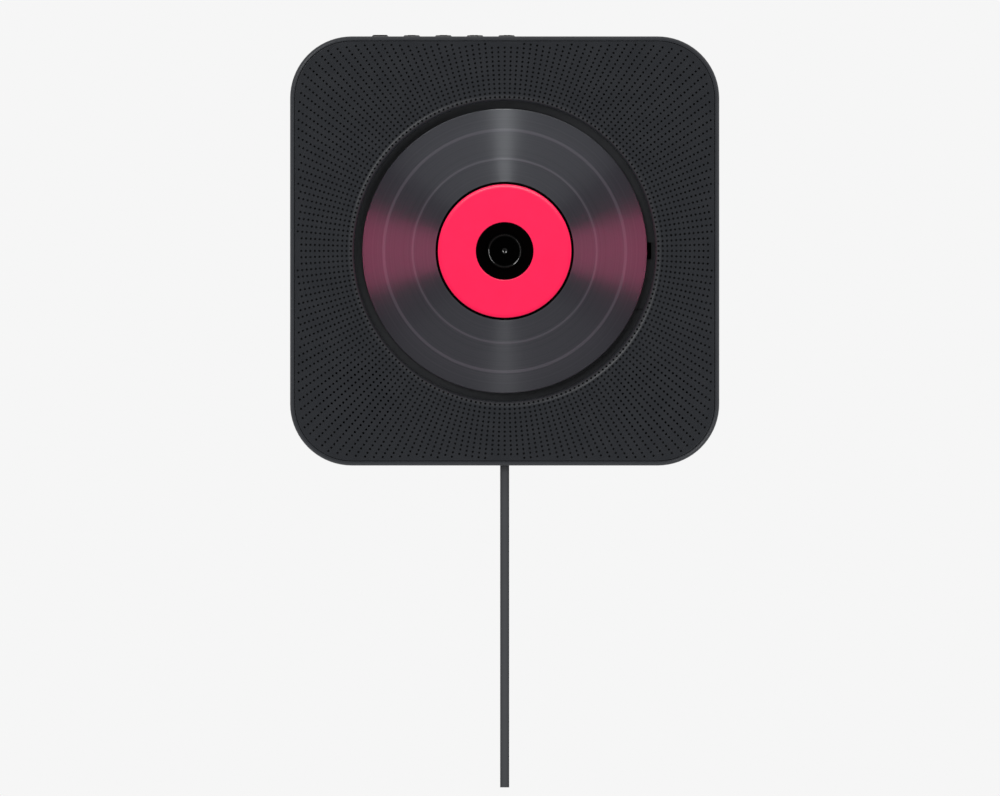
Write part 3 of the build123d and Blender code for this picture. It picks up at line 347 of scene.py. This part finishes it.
def make_disc_plastic():
    """Black disc with turned grooves: a radial tangent draws each reflection out into a wedge."""
    gloss = {"Specular IOR Level": 1.0, "IOR": 1.45, "Anisotropic": 1.0, "Anisotropic Rotation": 0.25}
    made = Material("disc_grooves", **gloss)
    radius = made.distance(made.place, "X", "Z")

    def rings(scale, detail):
        inputs = {"W": radius, "Scale": scale, "Detail": detail, "Roughness": 0.7}
        return made.add("ShaderNodeTexNoise", inputs, noise_dimensions="1D").outputs["Fac"]

    def band(middle, width, soft=0.15 * MM):
        away = made.maths("ABSOLUTE", made.maths("SUBTRACT", radius, middle))
        return made.ramp(away, width / 2 - soft, width / 2 + soft, 1.0, 0.0, smooth=True)

    grooves = rings(9000.0, 3.0)
    tone = made.ramp(rings(1300.0, 2.0), 0.3, 0.7, 0.0, 1.0)
    colour = made.mix(tone, srgb(13, 22, 28), srgb(26, 34, 39))
    for middle, width in DISC_BANDS:
        colour = made.mix(band(middle, width), colour, srgb(44, 54, 58))
    made.colour(colour)
    made.rough(made.ramp(grooves, 0.3, 0.7, 0.3, 0.38))
    # the flanks of the grooves lean outwards a little, so the upper half is the brighter one
    outwards = made.bump(radius, -0.06)
    made.normal(made.bump(grooves, 0.003 * MM, normal=outwards))
    tangent = made.add("ShaderNodeTangent", direction_type="RADIAL", axis="Y")
    made.feed(tangent.outputs[0], made.shader.inputs["Tangent"])
    return made.material


def make_label():
    """Screen-printed pink layer with a satin gloss."""
    made = Material("label_print", **{"Specular IOR Level": 0.25})
    cloud = made.noise(140, 3.0)
    made.colour(made.mix(cloud, srgb(253, 26, 80), srgb(255, 32, 86)))
    made.rough(made.ramp(made.noise(900, 2.0), 0.3, 0.7, 0.19, 0.24))
    made.normal(made.bump(made.noise(2600, 2.0), 0.004 * MM))
    return made.material


def make_hub_black(name, gloss):
    """Deep black of the disc's centre, also painted into the groove round the label as the shade of the
    label's edge.
    """
    made = Material(name, **{"Specular IOR Level": gloss})
    made.colour(made.mix(made.noise(200, 2.0), srgb(1, 1, 1), srgb(2, 2, 2)))
    made.rough(made.ramp(made.noise(700, 2.0), 0.3, 0.7, 0.1, 0.16))
    made.normal(made.bump(made.noise(1500, 2.0), 0.001 * MM))
    return made.material


def make_cloth():
    """Black woven speaker cloth."""
    made = Material("speaker_cloth", **{"Sheen Weight": 0.2, "Specular IOR Level": 0.1})
    yarn = {"Vector": made.place, "Scale": 1100.0, "Distortion": 0.4, "Detail": 1.0}
    warp, weft = (made.add("ShaderNodeTexWave", yarn, bands_direction=d).outputs["Fac"] for d in ("X", "Z"))
    threads = made.maths("MULTIPLY", warp, weft)
    made.colour(made.mix(threads, srgb(5, 5, 6), srgb(17, 17, 19)))
    made.rough(made.ramp(threads, 0.0, 1.0, 0.98, 0.85))
    made.normal(made.bump(threads, 0.05 * MM))
    return made.material


def make_paper():
    """Pressed paper cone with a rubber roll."""
    made = Material("speaker_paper", **{"Specular IOR Level": 0.2})
    fibre = made.noise(1500, 4.0, 0.7)
    made.colour(made.mix(fibre, srgb(20, 20, 21), srgb(42, 41, 40)))
    made.rough(made.ramp(fibre, 0.3, 0.7, 0.75, 0.95))
    made.normal(made.bump(fibre, 0.05 * MM))
    return made.material


def make_board():
    """Green solder mask over a faint copper pattern."""
    made = Material("circuit_board", **{"Coat Weight": 0.4, "Coat Roughness": 0.15})
    cells = made.add("ShaderNodeTexVoronoi", {"Vector": made.place, "Scale": 420.0}, distance="CHEBYCHEV")
    tracks = made.ramp(cells.outputs["Distance"], 0.42, 0.46, 0.0, 1.0)
    made.colour(made.mix(tracks, srgb(14, 74, 38), srgb(26, 104, 54)))
    made.rough(made.ramp(made.noise(200), 0.3, 0.7, 0.35, 0.5))
    made.normal(made.bump(tracks, 0.02 * MM))
    return made.material


def make_glass():
    """Coated objective lens."""
    made = Material("lens_glass", **{"Transmission Weight": 0.85, "IOR": 1.5, "Coat Weight": 0.6})
    made.colour(made.mix(made.noise(900, 1.0), srgb(190, 200, 240), srgb(205, 190, 245)))
    made.rough(made.ramp(made.noise(1500), 0.3, 0.7, 0.02, 0.06))
    return made.material


def make_cord_jacket():
    """Matt vinyl jacket, drawn lengthwise."""
    made = Material("cord_jacket", **{"Specular IOR Level": 0.0})
    drawn = made.noise(2200, 2.0, 0.5, place=made.stretched((1.0, 1.0, 0.05)))
    made.colour(made.mix(made.noise(40, 2.0), srgb(57, 58, 60), srgb(63, 64, 66)))
    made.rough(made.ramp(drawn, 0.3, 0.7, 0.7, 0.85))
    made.normal(made.bump(drawn, 0.01 * MM))
    return made.material


# the material of each slot in the record
materials = {
    "casing": make_casing("casing_plastic", 37),
    "well_plastic": plastic("well_plastic", (26, 28, 31), (31, 33, 37), 0.45, level=0.35),
    "black_cloth": make_cloth(),
    "black_rubber": plastic("black_rubber", (22, 22, 23), (31, 31, 32), 0.75, 1600, 0.03, 0.25),
    "disc_black": make_disc_plastic(),
    "label_pink": make_label(),
    "black_plastic": plastic("black_plastic", (18, 19, 21), (25, 26, 28), 0.38, level=0.35),
    "white_plastic": plastic("white_acetal", (205, 205, 198), (218, 217, 210), 0.4),
    "bracket_steel": metal("zinc_steel", (148, 151, 155), (178, 180, 183), 0.34, stretch=(0.06, 1, 1)),
    "plain_steel": metal("bright_steel", (128, 130, 134), (152, 154, 158), 0.26, stretch=(1, 0.1, 1)),
    "painted_steel": plastic("painted_steel", (26, 27, 29), (34, 35, 37), 0.42, grain=900, depth=0.02),
    "motor_steel": metal("motor_can", (140, 142, 146), (170, 172, 176), 0.3, stretch=(1, 0.05, 1)),
    "cast_metal": metal("cast_metal", (120, 122, 125), (152, 154, 157), 0.45, scale=900, depth=0.03),
    "brass": metal("turned_brass", (176, 138, 66), (204, 166, 92), 0.26, stretch=(1, 0.1, 1)),
    "magnet_grey": plastic("ferrite", (44, 45, 47), (58, 59, 61), 0.6, grain=1400, depth=0.04),
    "speaker_paper": make_paper(),
    "board_green": make_board(),
    "lens_glass": make_glass(),
    "cord_grey": make_cord_jacket(),
}

# finishes of the few pieces that differ from the rest of their slot, among them a lighter copy of the casing
# plastic that paints light onto the housing
# deep black of the hub and the disc's middle, also painted into the groove round the label as shade
hub_black_and_groove_shade = make_hub_black("hub_black_and_groove_shade", 0.02)
rim_black = make_hub_black("rim_black", 0.12)
KEYS = ("power", "volume_down", "volume_up", "back", "forward")
finishes_and_painted_light = (
    (hub_black_and_groove_shade, ("turntable", "clamp_claws", "spindle_shaft", "platter_pad")),
    # the housing shell and rear cover: the casing plastic painted lighter, as painted light for the light
    # that the housing's rim catches
    (make_casing("housing_plastic_painted_lighter", 45), ("housing_shell", "rear_cover")),
    (plastic("keycap_plastic", (14, 15, 17), (19, 20, 22), 0.6, level=0.03), [f"{k}_button" for k in KEYS]),
)


# ---------------------------------------------------------------- mesh building


def circle(radius, count, phase=0.0, centre=(0.0, 0.0)):
    """Points of a circle in plan, as (x, z)."""
    angles = [TURN * (n + phase) / count for n in range(count)]
    return [(centre[0] + radius * math.cos(a), centre[1] + radius * math.sin(a)) for a in angles]


def spoke_circle(radius):
    """Circle in plan with its points halfway between the spokes of sound holes."""
    return circle(radius, SPOKES, 0.5)


def at_depth(outline, depth):
    """Points of an outline in plan, at one depth from the wall."""
    return [(x, -depth, z) for x, z in outline]


def quarter_turn(step):
    """Sine and cosine of the angles from nought to a right angle, a step of degrees apart."""
    angles = [math.radians(degrees) for degrees in range(0, 91, step)]
    return [(math.sin(a), math.cos(a)) for a in angles]


def link_object(name, mesh, material):
    """Puts a mesh in the scene, shaded smooth and in one material."""
    mesh.polygons.foreach_set("use_smooth", [True] * len(mesh.polygons))
    mesh.materials.append(material)
    made = bpy.data.objects.new(name, mesh)
    scene.collection.objects.link(made)
    return made


class Build:
    """Collects vertices, faces and the normals that the faces are shaded with."""

    def __init__(self):
        self.points = []
        self.faces = []
        self.normals = []

    def loop(self, points):
        """Adds points and returns their numbers."""
        start = len(self.points)
        self.points.extend(points)
        return list(range(start, len(self.points)))

    def plan(self, loop):
        """Points of a loop in plan."""
        return [(self.points[c][0], self.points[c][2]) for c in loop]

    def face(self, corners, normals):
        """Adds a face, turned so that it looks the way its normals do."""
        a, b, c = (Vector(self.points[corner]) for corner in corners[:3])
        towards = sum((Vector(n) for n in normals), Vector())
        corners, normals = list(corners), list(normals)
        if (b - a).cross(c - a).dot(towards) < 0:
            corners.reverse()
            normals.reverse()
        self.faces.append(corners)
        self.normals.append(normals)

    def band(self, first, second, normal_first, normal_second):
        """Quads from one closed loop to the next, each corner shaded with its loop's normal."""
        for n in range(len(first)):
            m = (n + 1) % len(first)
            corners = (first[n], first[m], second[m], second[n])
            self.face(corners, (normal_first[n], normal_first[m], normal_second[m], normal_second[n]))

    def finish(self, name, material):
        mesh = bpy.data.meshes.new(name)
        mesh.from_pydata(self.points, [], self.faces)
        made = link_object(name, mesh, material)
        mesh.normals_split_custom_set([n for face in self.normals for n in face])
        mesh.update()
        return made


def turned(name, profile, steps, material):
    """Ring turned about the depth axis, shaded smooth over edges of less than 40 degrees.

    The profile is a closed run of (radius, depth) points.
    """
    points = [point for radius, depth in profile for point in at_depth(circle(radius, steps), depth)]
    faces = []
    for k in range(len(profile)):
        a, b = k * steps, ((k + 1) % len(profile)) * steps
        faces.extend((a + n, a + (n + 1) % steps, b + (n + 1) % steps, b + n) for n in range(steps))
    mesh = bpy.data.meshes.new(name)
    mesh.from_pydata(points, [], faces)
    bm = bmesh.new()
    bm.from_mesh(mesh)
    bmesh.ops.recalc_face_normals(bm, faces=bm.faces)
    for edge in bm.edges:
        edge.smooth = edge.calc_face_angle() < math.radians(40)
    bm.to_mesh(mesh)
    bm.free()
    return link_object(name, mesh, material)


def triangulate(loops, hole_count):
    """Triangles between closed loops in plan. The first is the edge, the last hole_count are cut out."""
    points, faces, edges = [], [], []
    for n, loop in enumerate(loops):
        run = list(range(len(points), len(points) + len(loop)))
        points.extend(Vector(p) for p in loop)
        if n == 0 or n >= len(loops) - hole_count:
            faces.append(run)
        else:
            edges.extend((run[k], run[(k + 1) % len(run)]) for k in range(len(run)))
    _, _, triangles, origins, _, owners = delaunay_2d_cdt(points, edges, faces, 0, 1e-7, True)
    # what lies in the outer edge and in no hole belongs to the first face alone
    return [tuple(origins[c][0] for c in t) for t, owner in zip(triangles, owners) if owner == [0]]


# ---------------------------------------------------------------- front panel


def square_angles(steps=28):
    """Angles round a rounded square, each with the signs of its quarter. Both ends of a quarter are kept."""
    angles = []
    for k, signs in enumerate(((1, 1), (-1, 1), (-1, -1), (1, -1))):
        angles.extend(((k + n / steps) * math.pi / 2, *signs) for n in range(steps + 1))
    return angles


def square_outline(half, corner):
    """Rounded square in plan, running anticlockwise."""
    straight = half - corner
    return [
        (sx * straight + corner * math.cos(angle), sz * straight + corner * math.sin(angle))
        for angle, sx, sz in square_angles()
    ]


def inside_square(x, z, half, corner):
    """True if the point lies in the rounded square."""
    x, z, straight = abs(x), abs(z), half - corner
    if x > half or z > half:
        return False
    return x <= straight or z <= straight or math.hypot(x - straight, z - straight) <= corner


def hole_places():
    """Sound holes on the spokes of the disc, ring by ring, as far as the rounded square lets them."""
    places = []
    radius = FIRST_RING
    while radius < math.sqrt(2) * PATTERN_HALF:
        for x, z in circle(radius, SPOKES):
            if inside_square(x, z, PATTERN_HALF, PATTERN_CORNER):
                places.append((x, z))
        radius += RING_PITCH
    return places


def is_open(place):
    """True for a hole over a loudspeaker's cloth."""
    return math.hypot(abs(place[0]) - SPEAKER_AT, place[1] + SPEAKER_AT) < OPEN_RADIUS


def lip_radius(degrees):
    """Radius at an angle round the lip: none at the flat front, 90 at the wall of the well."""
    return LIP_OUTER - LIP_RADIUS * math.sin(math.radians(degrees))


def lip_slope(radius):
    """Sine of the tilt of the rolled lip at a radius."""
    return min(1.0, max(0.0, (LIP_OUTER - radius) / LIP_RADIUS))


def lip_depth(radius):
    """Depth of the front and of its lip at a radius."""
    return PANEL_FRONT - LIP_RADIUS * (1 - math.sqrt(1 - lip_slope(radius) ** 2))


def lip_normal(x, z):
    """Direction that the front and its lip look in at a place."""
    radius = math.hypot(x, z)
    slope = lip_slope(radius)
    return (-slope * x / radius, -math.sqrt(1 - slope * slope), -slope * z / radius)


def add_hole_walls(made, centres, rims):
    """Walls of the sound holes, with a floor in each blind one. Returns the open ones' ends on the back."""
    open_ends = []
    for centre, rim in zip(centres, rims):
        outline = made.plan(rim)
        inward = [tuple(Vector((centre[0] - x, 0.0, centre[1] - z)).normalized()) for x, z in outline]
        through = is_open(centre)
        floor = PANEL_REAR if through else lip_depth(math.hypot(*centre)) - BLIND_DEPTH
        end = made.loop(at_depth(outline, floor))
        made.band(rim, end, inward, inward)
        if through:
            open_ends.append(end)
        else:
            made.face(end, [FRONTWARDS] * len(end))
    return open_ends


def add_lip_end(made, previous):
    """The steep end of the lip, its collar and the step behind it. Returns the loop on the back."""
    for degrees in LIP_LAST:
        radius = lip_radius(degrees)
        following = made.loop(at_depth(spoke_circle(radius), lip_depth(radius)))
        tilts = [[lip_normal(*place) for place in made.plan(loop)] for loop in (previous, following)]
        made.band(previous, following, *tilts)
        previous = following
    outward = [(x, 0.0, z) for x, z in spoke_circle(1.0)]
    inward = [(-x, 0.0, -z) for x, _, z in outward]
    turns = (
        (WELL_RADIUS, COLLAR, inward),
        (TRAY_RADIUS, COLLAR, [BACKWARDS] * SPOKES),
        (TRAY_RADIUS, PANEL_FRONT - LIP_RADIUS, outward),
        (LIP_OUTER, PANEL_REAR, outward),
    )
    for radius, depth, facing in turns:
        following = made.loop(at_depth(spoke_circle(radius), depth))
        made.band(previous, following, facing, facing)
        previous = following
    return previous


def add_outer_edge(made, previous):
    """The rounded outer edge and the side behind it. Returns the loop on the back."""
    directions = [(math.cos(angle), 0.0, math.sin(angle)) for angle, _, _ in square_angles()]
    facing = [FRONTWARDS] * len(previous)
    for sine, cosine in quarter_turn(30)[1:]:
        inset = PANEL_EDGE * (1 - sine)
        edge = square_outline(PANEL_HALF - inset, PANEL_CORNER - inset)
        following = made.loop(at_depth(edge, PANEL_FRONT - PANEL_EDGE * (1 - cosine)))
        tilted = [(x * sine, -cosine, z * sine) for x, _, z in directions]
        made.band(previous, following, facing, tilted)
        previous, facing = following, tilted
    rear = made.loop(at_depth(square_outline(PANEL_HALF, PANEL_CORNER), PANEL_REAR))
    made.band(previous, rear, directions, directions)
    return rear


def make_panel(material):
    """Perforated front with the rolled lip of the well. Only the holes over the speakers go through."""
    centres = hole_places() + circle(LIP_RING, SPOKES)
    outer = square_outline(PANEL_HALF - PANEL_EDGE, PANEL_CORNER - PANEL_EDGE)
    rings = [spoke_circle(lip_radius(degrees)) for degrees in LIP_RINGS]
    inner = spoke_circle(lip_radius(LIP_INNER))
    holes = [circle(HOLE_RADIUS, HOLE_SIDES, 0.5, centre) for centre in centres]
    plan = [outer, *rings, inner, *holes]

    made = Build()
    loops = [made.loop([(x, -lip_depth(math.hypot(x, z)), z) for x, z in outline]) for outline in plan]
    tilts = [lip_normal(x, z) for outline in plan for x, z in outline]
    for corners in triangulate(plan, 1 + len(holes)):
        made.face(corners, [tilts[c] for c in corners])
    open_ends = add_hole_walls(made, centres, loops[-len(holes) :])
    rear_in = add_lip_end(made, loops[1 + len(rings)])
    rear_out = add_outer_edge(made, loops[0])

    rear_loops = [rear_out, rear_in, *open_ends]
    rear_corners = [c for loop in rear_loops for c in loop]
    for corners in triangulate([made.plan(loop) for loop in rear_loops], 1 + len(open_ends)):
        made.face([rear_corners[c] for c in corners], [BACKWARDS] * 3)
    panel = made.finish("perforated_panel", material)
    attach(panel, "player")
    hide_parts("grille_panel")


# ---------------------------------------------------------------- disc and hub


def turned_face():
    """Profile of the disc's face from its rim to the label's groove, as (radius, depth) points."""
    points = []
    radius = DISC_RIM - FACE_START
    while radius > LABEL_GROOVE:
        banded = any(abs(radius - middle) < width / 2 for middle, width in DISC_BANDS)
        points.append((radius, DISC_FRONT if banded else DISC_FRONT - FACE_DROP))
        radius -= FACE_STEP
    return points


def make_disc(material, plain):
    """Disc with a turned face and rounded rims. The middle is plain black, and the groove round the label is
    painted black as the shade under the label's edge.
    """
    front, rear = DISC_FRONT, DISC_REAR
    profile = [(DISC_RIM - inset, rear + lift) for inset, lift in REAR_ROUND]
    profile.extend((DISC_RIM - inset, front - drop) for inset, drop in FRONT_ROUND)
    profile.extend(turned_face())
    profile.extend([(LABEL_GROOVE, front - FACE_DROP), (LABEL_GROOVE - GROOVE_SLOPE, front - GROOVE_DROP)])
    profile.extend([(LABEL_OUTER, front - GROOVE_DROP), (LABEL_OUTER - GROOVE_SLOPE, front)])
    profile.extend([(LABEL_INNER, front), (LABEL_INNER - CLAMP_SLOPE, front - CLAMP_DROP)])
    profile.extend([(DISC_HOLE + HOLE_ROUND, front - CLAMP_DROP), (DISC_HOLE, front - HOLE_DROP)])
    profile.extend([(DISC_HOLE, rear + HOLE_ROUND), (DISC_HOLE + HOLE_ROUND, rear)])
    profile.extend((radius, rear) for radius in REAR_CLAMP)
    disc = turned("grooved_disc", profile, DISC_STEPS, material)
    disc.data.materials.append(plain)
    # the middle takes the hub's black; the groove round the label is painted black as the shade under the
    # label's raised edge
    for polygon in disc.data.polygons:
        radius = math.hypot(polygon.center.x, polygon.center.z)
        if radius < LABEL_INNER or LABEL_OUTER - LABEL_FOOT < radius < LABEL_GROOVE:
            polygon.material_index = 1
    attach(disc, "disc")
    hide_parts("disc")
    return disc


def make_label_ring(material):
    """Printed ring of the label with softly rounded edges."""
    low, high = DISC_FRONT - GROOVE_DROP, DISC_FRONT + LABEL_RISE
    profile = [(LABEL_OUTER - LABEL_FOOT, low)]
    for sine, cosine in quarter_turn(10):
        profile.append((LABEL_OUTER - LABEL_ROUND * (1 - cosine), high - LABEL_DROP * (1 - sine)))
    profile.append((LABEL_OUTER - LABEL_ROUND - FLAT_MARGIN, high))
    profile.extend([(LABEL_INNER + BEVEL_WIDE + FLAT_MARGIN, high), (LABEL_INNER + BEVEL_WIDE, high)])
    profile.extend([(LABEL_INNER, high - BEVEL_HIGH), (LABEL_INNER, low)])
    label = turned("label_ring", profile, DISC_STEPS, material)
    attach(label, "disc")
    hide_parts("disc_label")
    return label


def make_boss_rim(material):
    """Rounded rim round the front of the boss that centres the disc."""
    low, high = BOSS_FRONT - RIM_ROUND, BOSS_FRONT + RIM_RISE
    profile = [(RIM_RADIUS, low)]
    for sine, cosine in quarter_turn(15):
        profile.append((RIM_RADIUS - RIM_ROUND * (1 - cosine), high - RIM_ROUND * (1 - sine)))
    profile.extend([(RIM_INNER, high), (RIM_INNER, low)])
    rim = turned("boss_rim", profile, RIM_STEPS, material)
    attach(rim, "turntable")
    return rim


def make_centre_pip(material):
    """Small domed pip over the end of the spindle: the top of a ball, from 30 degrees up."""
    base = BOSS_FRONT - PIP_SINK
    middle = base - PIP_RADIUS * math.sin(math.radians(30))
    angles = [math.radians(degrees) for degrees in range(30, 90, 10)]
    profile = [(PIP_RADIUS * math.cos(a), middle + PIP_RADIUS * math.sin(a)) for a in angles]
    profile.extend([(PIP_BORE, middle + PIP_RADIUS), (PIP_BORE, base - PIP_FOOT)])
    profile.append((profile[0][0], base - PIP_FOOT))
    pip = turned("centre_pip", profile, PIP_STEPS, material)
    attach(pip, "turntable")
    return pip


# ---------------------------------------------------------------- light, surroundings and floor


def area_light(name, place, size, power, lit, colour=(1.0, 1.0, 1.0)):
    """Soft lamp aimed at the middle of the player's front. The collection lit says what it lights.

    The power is that of its plain light on a surface there, where 1 lights white fully.
    """
    data = bpy.data.lights.new(name, "AREA")
    data.shape = "RECTANGLE"
    data.size, data.size_y = size
    towards = Vector((0, -PANEL_FRONT, 0)) - Vector(place)
    data.energy = power * math.pi**2 * towards.length_squared
    data.color = colour
    light = bpy.data.objects.new(name, data)
    light.location = place
    light.rotation_euler = towards.to_track_quat("-Z", "Y").to_euler()
    light.visible_camera = False
    scene.collection.objects.link(light)
    light.light_linking.receiver_collection = lit


def receivers(name, pieces, state):
    """Pieces that a lamp lights alone, or that it leaves out."""
    made = bpy.data.collections.new(name)
    for piece in pieces:
        made.objects.link(piece)
    for linked in made.collection_objects:
        linked.light_linking.link_state = state
    return made


def make_lights(disc, label, cord, hub):
    """Two soft boxes light the player. The disc, the label, the hub and the cord have lamps of their own."""
    others = receivers("player_light", [disc, label, cord, *hub], "EXCLUDE")
    area_light("upper_left", (-0.9, -1.9, 0.85), (0.9, 0.9), 0.27, others)
    area_light("lower_right", (0.9, -1.9, -0.85), (0.9, 0.9), 0.23, others)

    # their reflections lie in the disc's grooves: a pale wedge above and below, a pink one at each side
    grooves = receivers("groove_light", [disc], "INCLUDE")
    area_light("strip_above", (0, -0.40, 0.40), (0.05, 0.16), 0.18, grooves, COOL_WHITE)
    area_light("sky_above", (0, -0.50, 0.40), (1.0, 0.12), 0.5, grooves, COOL_WHITE)
    area_light("strip_left", (-0.42, -0.40, 0), (0.16, 0.24), 0.67, grooves, PINK)
    area_light("strip_right", (0.42, -0.40, 0), (0.16, 0.24), 0.67, grooves, PINK)

    top = receivers("label_light", [label], "INCLUDE")
    area_light("label_front", (0, -2.0, 0.7), (0.8, 0.8), 0.27, top)
    area_light("label_above", (0, -0.25, 0.7), (0.6, 0.3), 0.55, top)
    area_light("label_edge", (0, -1.0, 0.36), (0.9, 0.1), 0.2, top)

    # narrow lamps that draw an arc on each side of the hub's rim and pip
    arcs = receivers("hub_light", hub, "INCLUDE")
    area_light("hub_right", (0.4, -0.5, 0.0), (0.1, 0.8), 0.9, arcs)
    area_light("hub_low_right", (0.4, -0.5, -0.36), (0.1, 0.3), 4.0, arcs)
    area_light("hub_left", (-0.4, -0.5, -0.15), (0.1, 0.42), 4.0, arcs)

    hanging = receivers("cord_light", [cord], "INCLUDE")
    area_light("cord_front", (0, -2.0, 0), (0.4, 0.4), 1.05, hanging)


def make_world():
    """Pale surroundings for the camera, and an even plain light on everything.

    Reflections see a pale backdrop behind the object, softer sides and a dim studio in front of it.
    """
    world = bpy.data.worlds.new("studio")
    world.use_nodes = True
    world.node_tree.nodes.clear()
    scene.world = world
    made = Tree(world.node_tree)
    place = made.add("ShaderNodeTexCoord").outputs["Generated"]
    towards_back = made.add("ShaderNodeSeparateXYZ", {"Vector": place}).outputs["Y"]
    sides = made.ramp(towards_back, *FRONT_FADE, FRONT_GLOSS, SIDE_GLOSS, smooth=True)
    back = made.ramp(towards_back, *REAR_FADE, 0.0, BACKDROP - SIDE_GLOSS, smooth=True)
    strengths = (AMBIENT, made.maths("ADD", sides, back), BACKDROP)
    ambient, reflected, backdrop = (
        made.add("ShaderNodeBackground", {"Color": WHITE, "Strength": strength}).outputs[0]
        for strength in strengths
    )
    path = made.add("ShaderNodeLightPath").outputs
    seen = made.maths("MAXIMUM", path["Is Camera Ray"], path["Is Transmission Ray"])
    lighting = made.mix_shader(path["Is Glossy Ray"], ambient, reflected)
    made.add("ShaderNodeOutputWorld", {"Surface": made.mix_shader(seen, lighting, backdrop)})


def make_floor_paint():
    """Pale paint, veiled by the backdrop and lost in it away from the middle of the floor."""
    made = Material("floor_paint", **{"Specular IOR Level": 0.2})
    made.colour(made.mix(made.noise(9, 2.0), *[(shade, shade, shade, 1.0) for shade in FLOOR_SHADES]))
    made.rough(made.ramp(made.noise(30), 0.3, 0.7, 0.75, 0.85))
    glow = made.add("ShaderNodeEmission", {"Color": WHITE, "Strength": BACKDROP}).outputs[0]
    clear = made.add("ShaderNodeBsdfTransparent").outputs[0]
    path = made.add("ShaderNodeLightPath").outputs
    away = made.mix_shader(path["Is Camera Ray"], clear, glow)
    fade = made.ramp(made.distance(made.place, "X", "Y"), *FLOOR_FADE, *FLOOR_VEIL, smooth=True)
    final = made.mix_shader(fade, made.shader.outputs[0], away)
    made.feed(final, made.tree.nodes["Material Output"].inputs["Surface"])
    return made.material


def make_floor():
    """Round floor under the object."""
    steps = FLOOR_STEPS
    points = [(0.0, 0.0, FLOOR_Z)]
    for k in range(1, FLOOR_RINGS + 1):
        points.extend((x, y, FLOOR_Z) for x, y in circle(FLOOR_RADIUS * k / FLOOR_RINGS, steps))
    faces = [(0, 1 + n, 1 + (n + 1) % steps) for n in range(steps)]
    for k in range(FLOOR_RINGS - 1):
        a, b = 1 + k * steps, 1 + (k + 1) * steps
        faces.extend((a + n, b + n, b + (n + 1) % steps, a + (n + 1) % steps) for n in range(steps))
    mesh = bpy.data.meshes.new("floor")
    mesh.from_pydata(points, [], faces)
    mesh.materials.append(make_floor_paint())
    floor = bpy.data.objects.new("floor", mesh)
    scene.collection.objects.link(floor)


# ---------------------------------------------------------------- the scene


def dress_solids():
    """Gives each solid its slot's material, and the few listed apart their own; the housing's own is the
    casing plastic painted lighter, as painted light.
    """
    for subpart in frame["record"]["subparts"]:
        for name in subpart.get("nodes", [subpart.get("node")]):
            if name in nodes:
                nodes[name].data.materials.clear()
                nodes[name].data.materials.append(materials[subpart["material_slot"]])
    for finish, names in finishes_and_painted_light:
        for name in names:
            nodes[name].data.materials[0] = finish


make_camera()
cord = make_cord(materials["cord_grey"])
make_world()
make_floor()

make_panel(materials["casing"])
disc = make_disc(materials["disc_black"], hub_black_and_groove_shade)
label = make_label_ring(materials["label_pink"])
hub = [make_boss_rim(rim_black), make_centre_pip(rim_black)]
make_lights(disc, label, cord, hub)
dress_solids()

scene.view_settings.view_transform = "Standard"
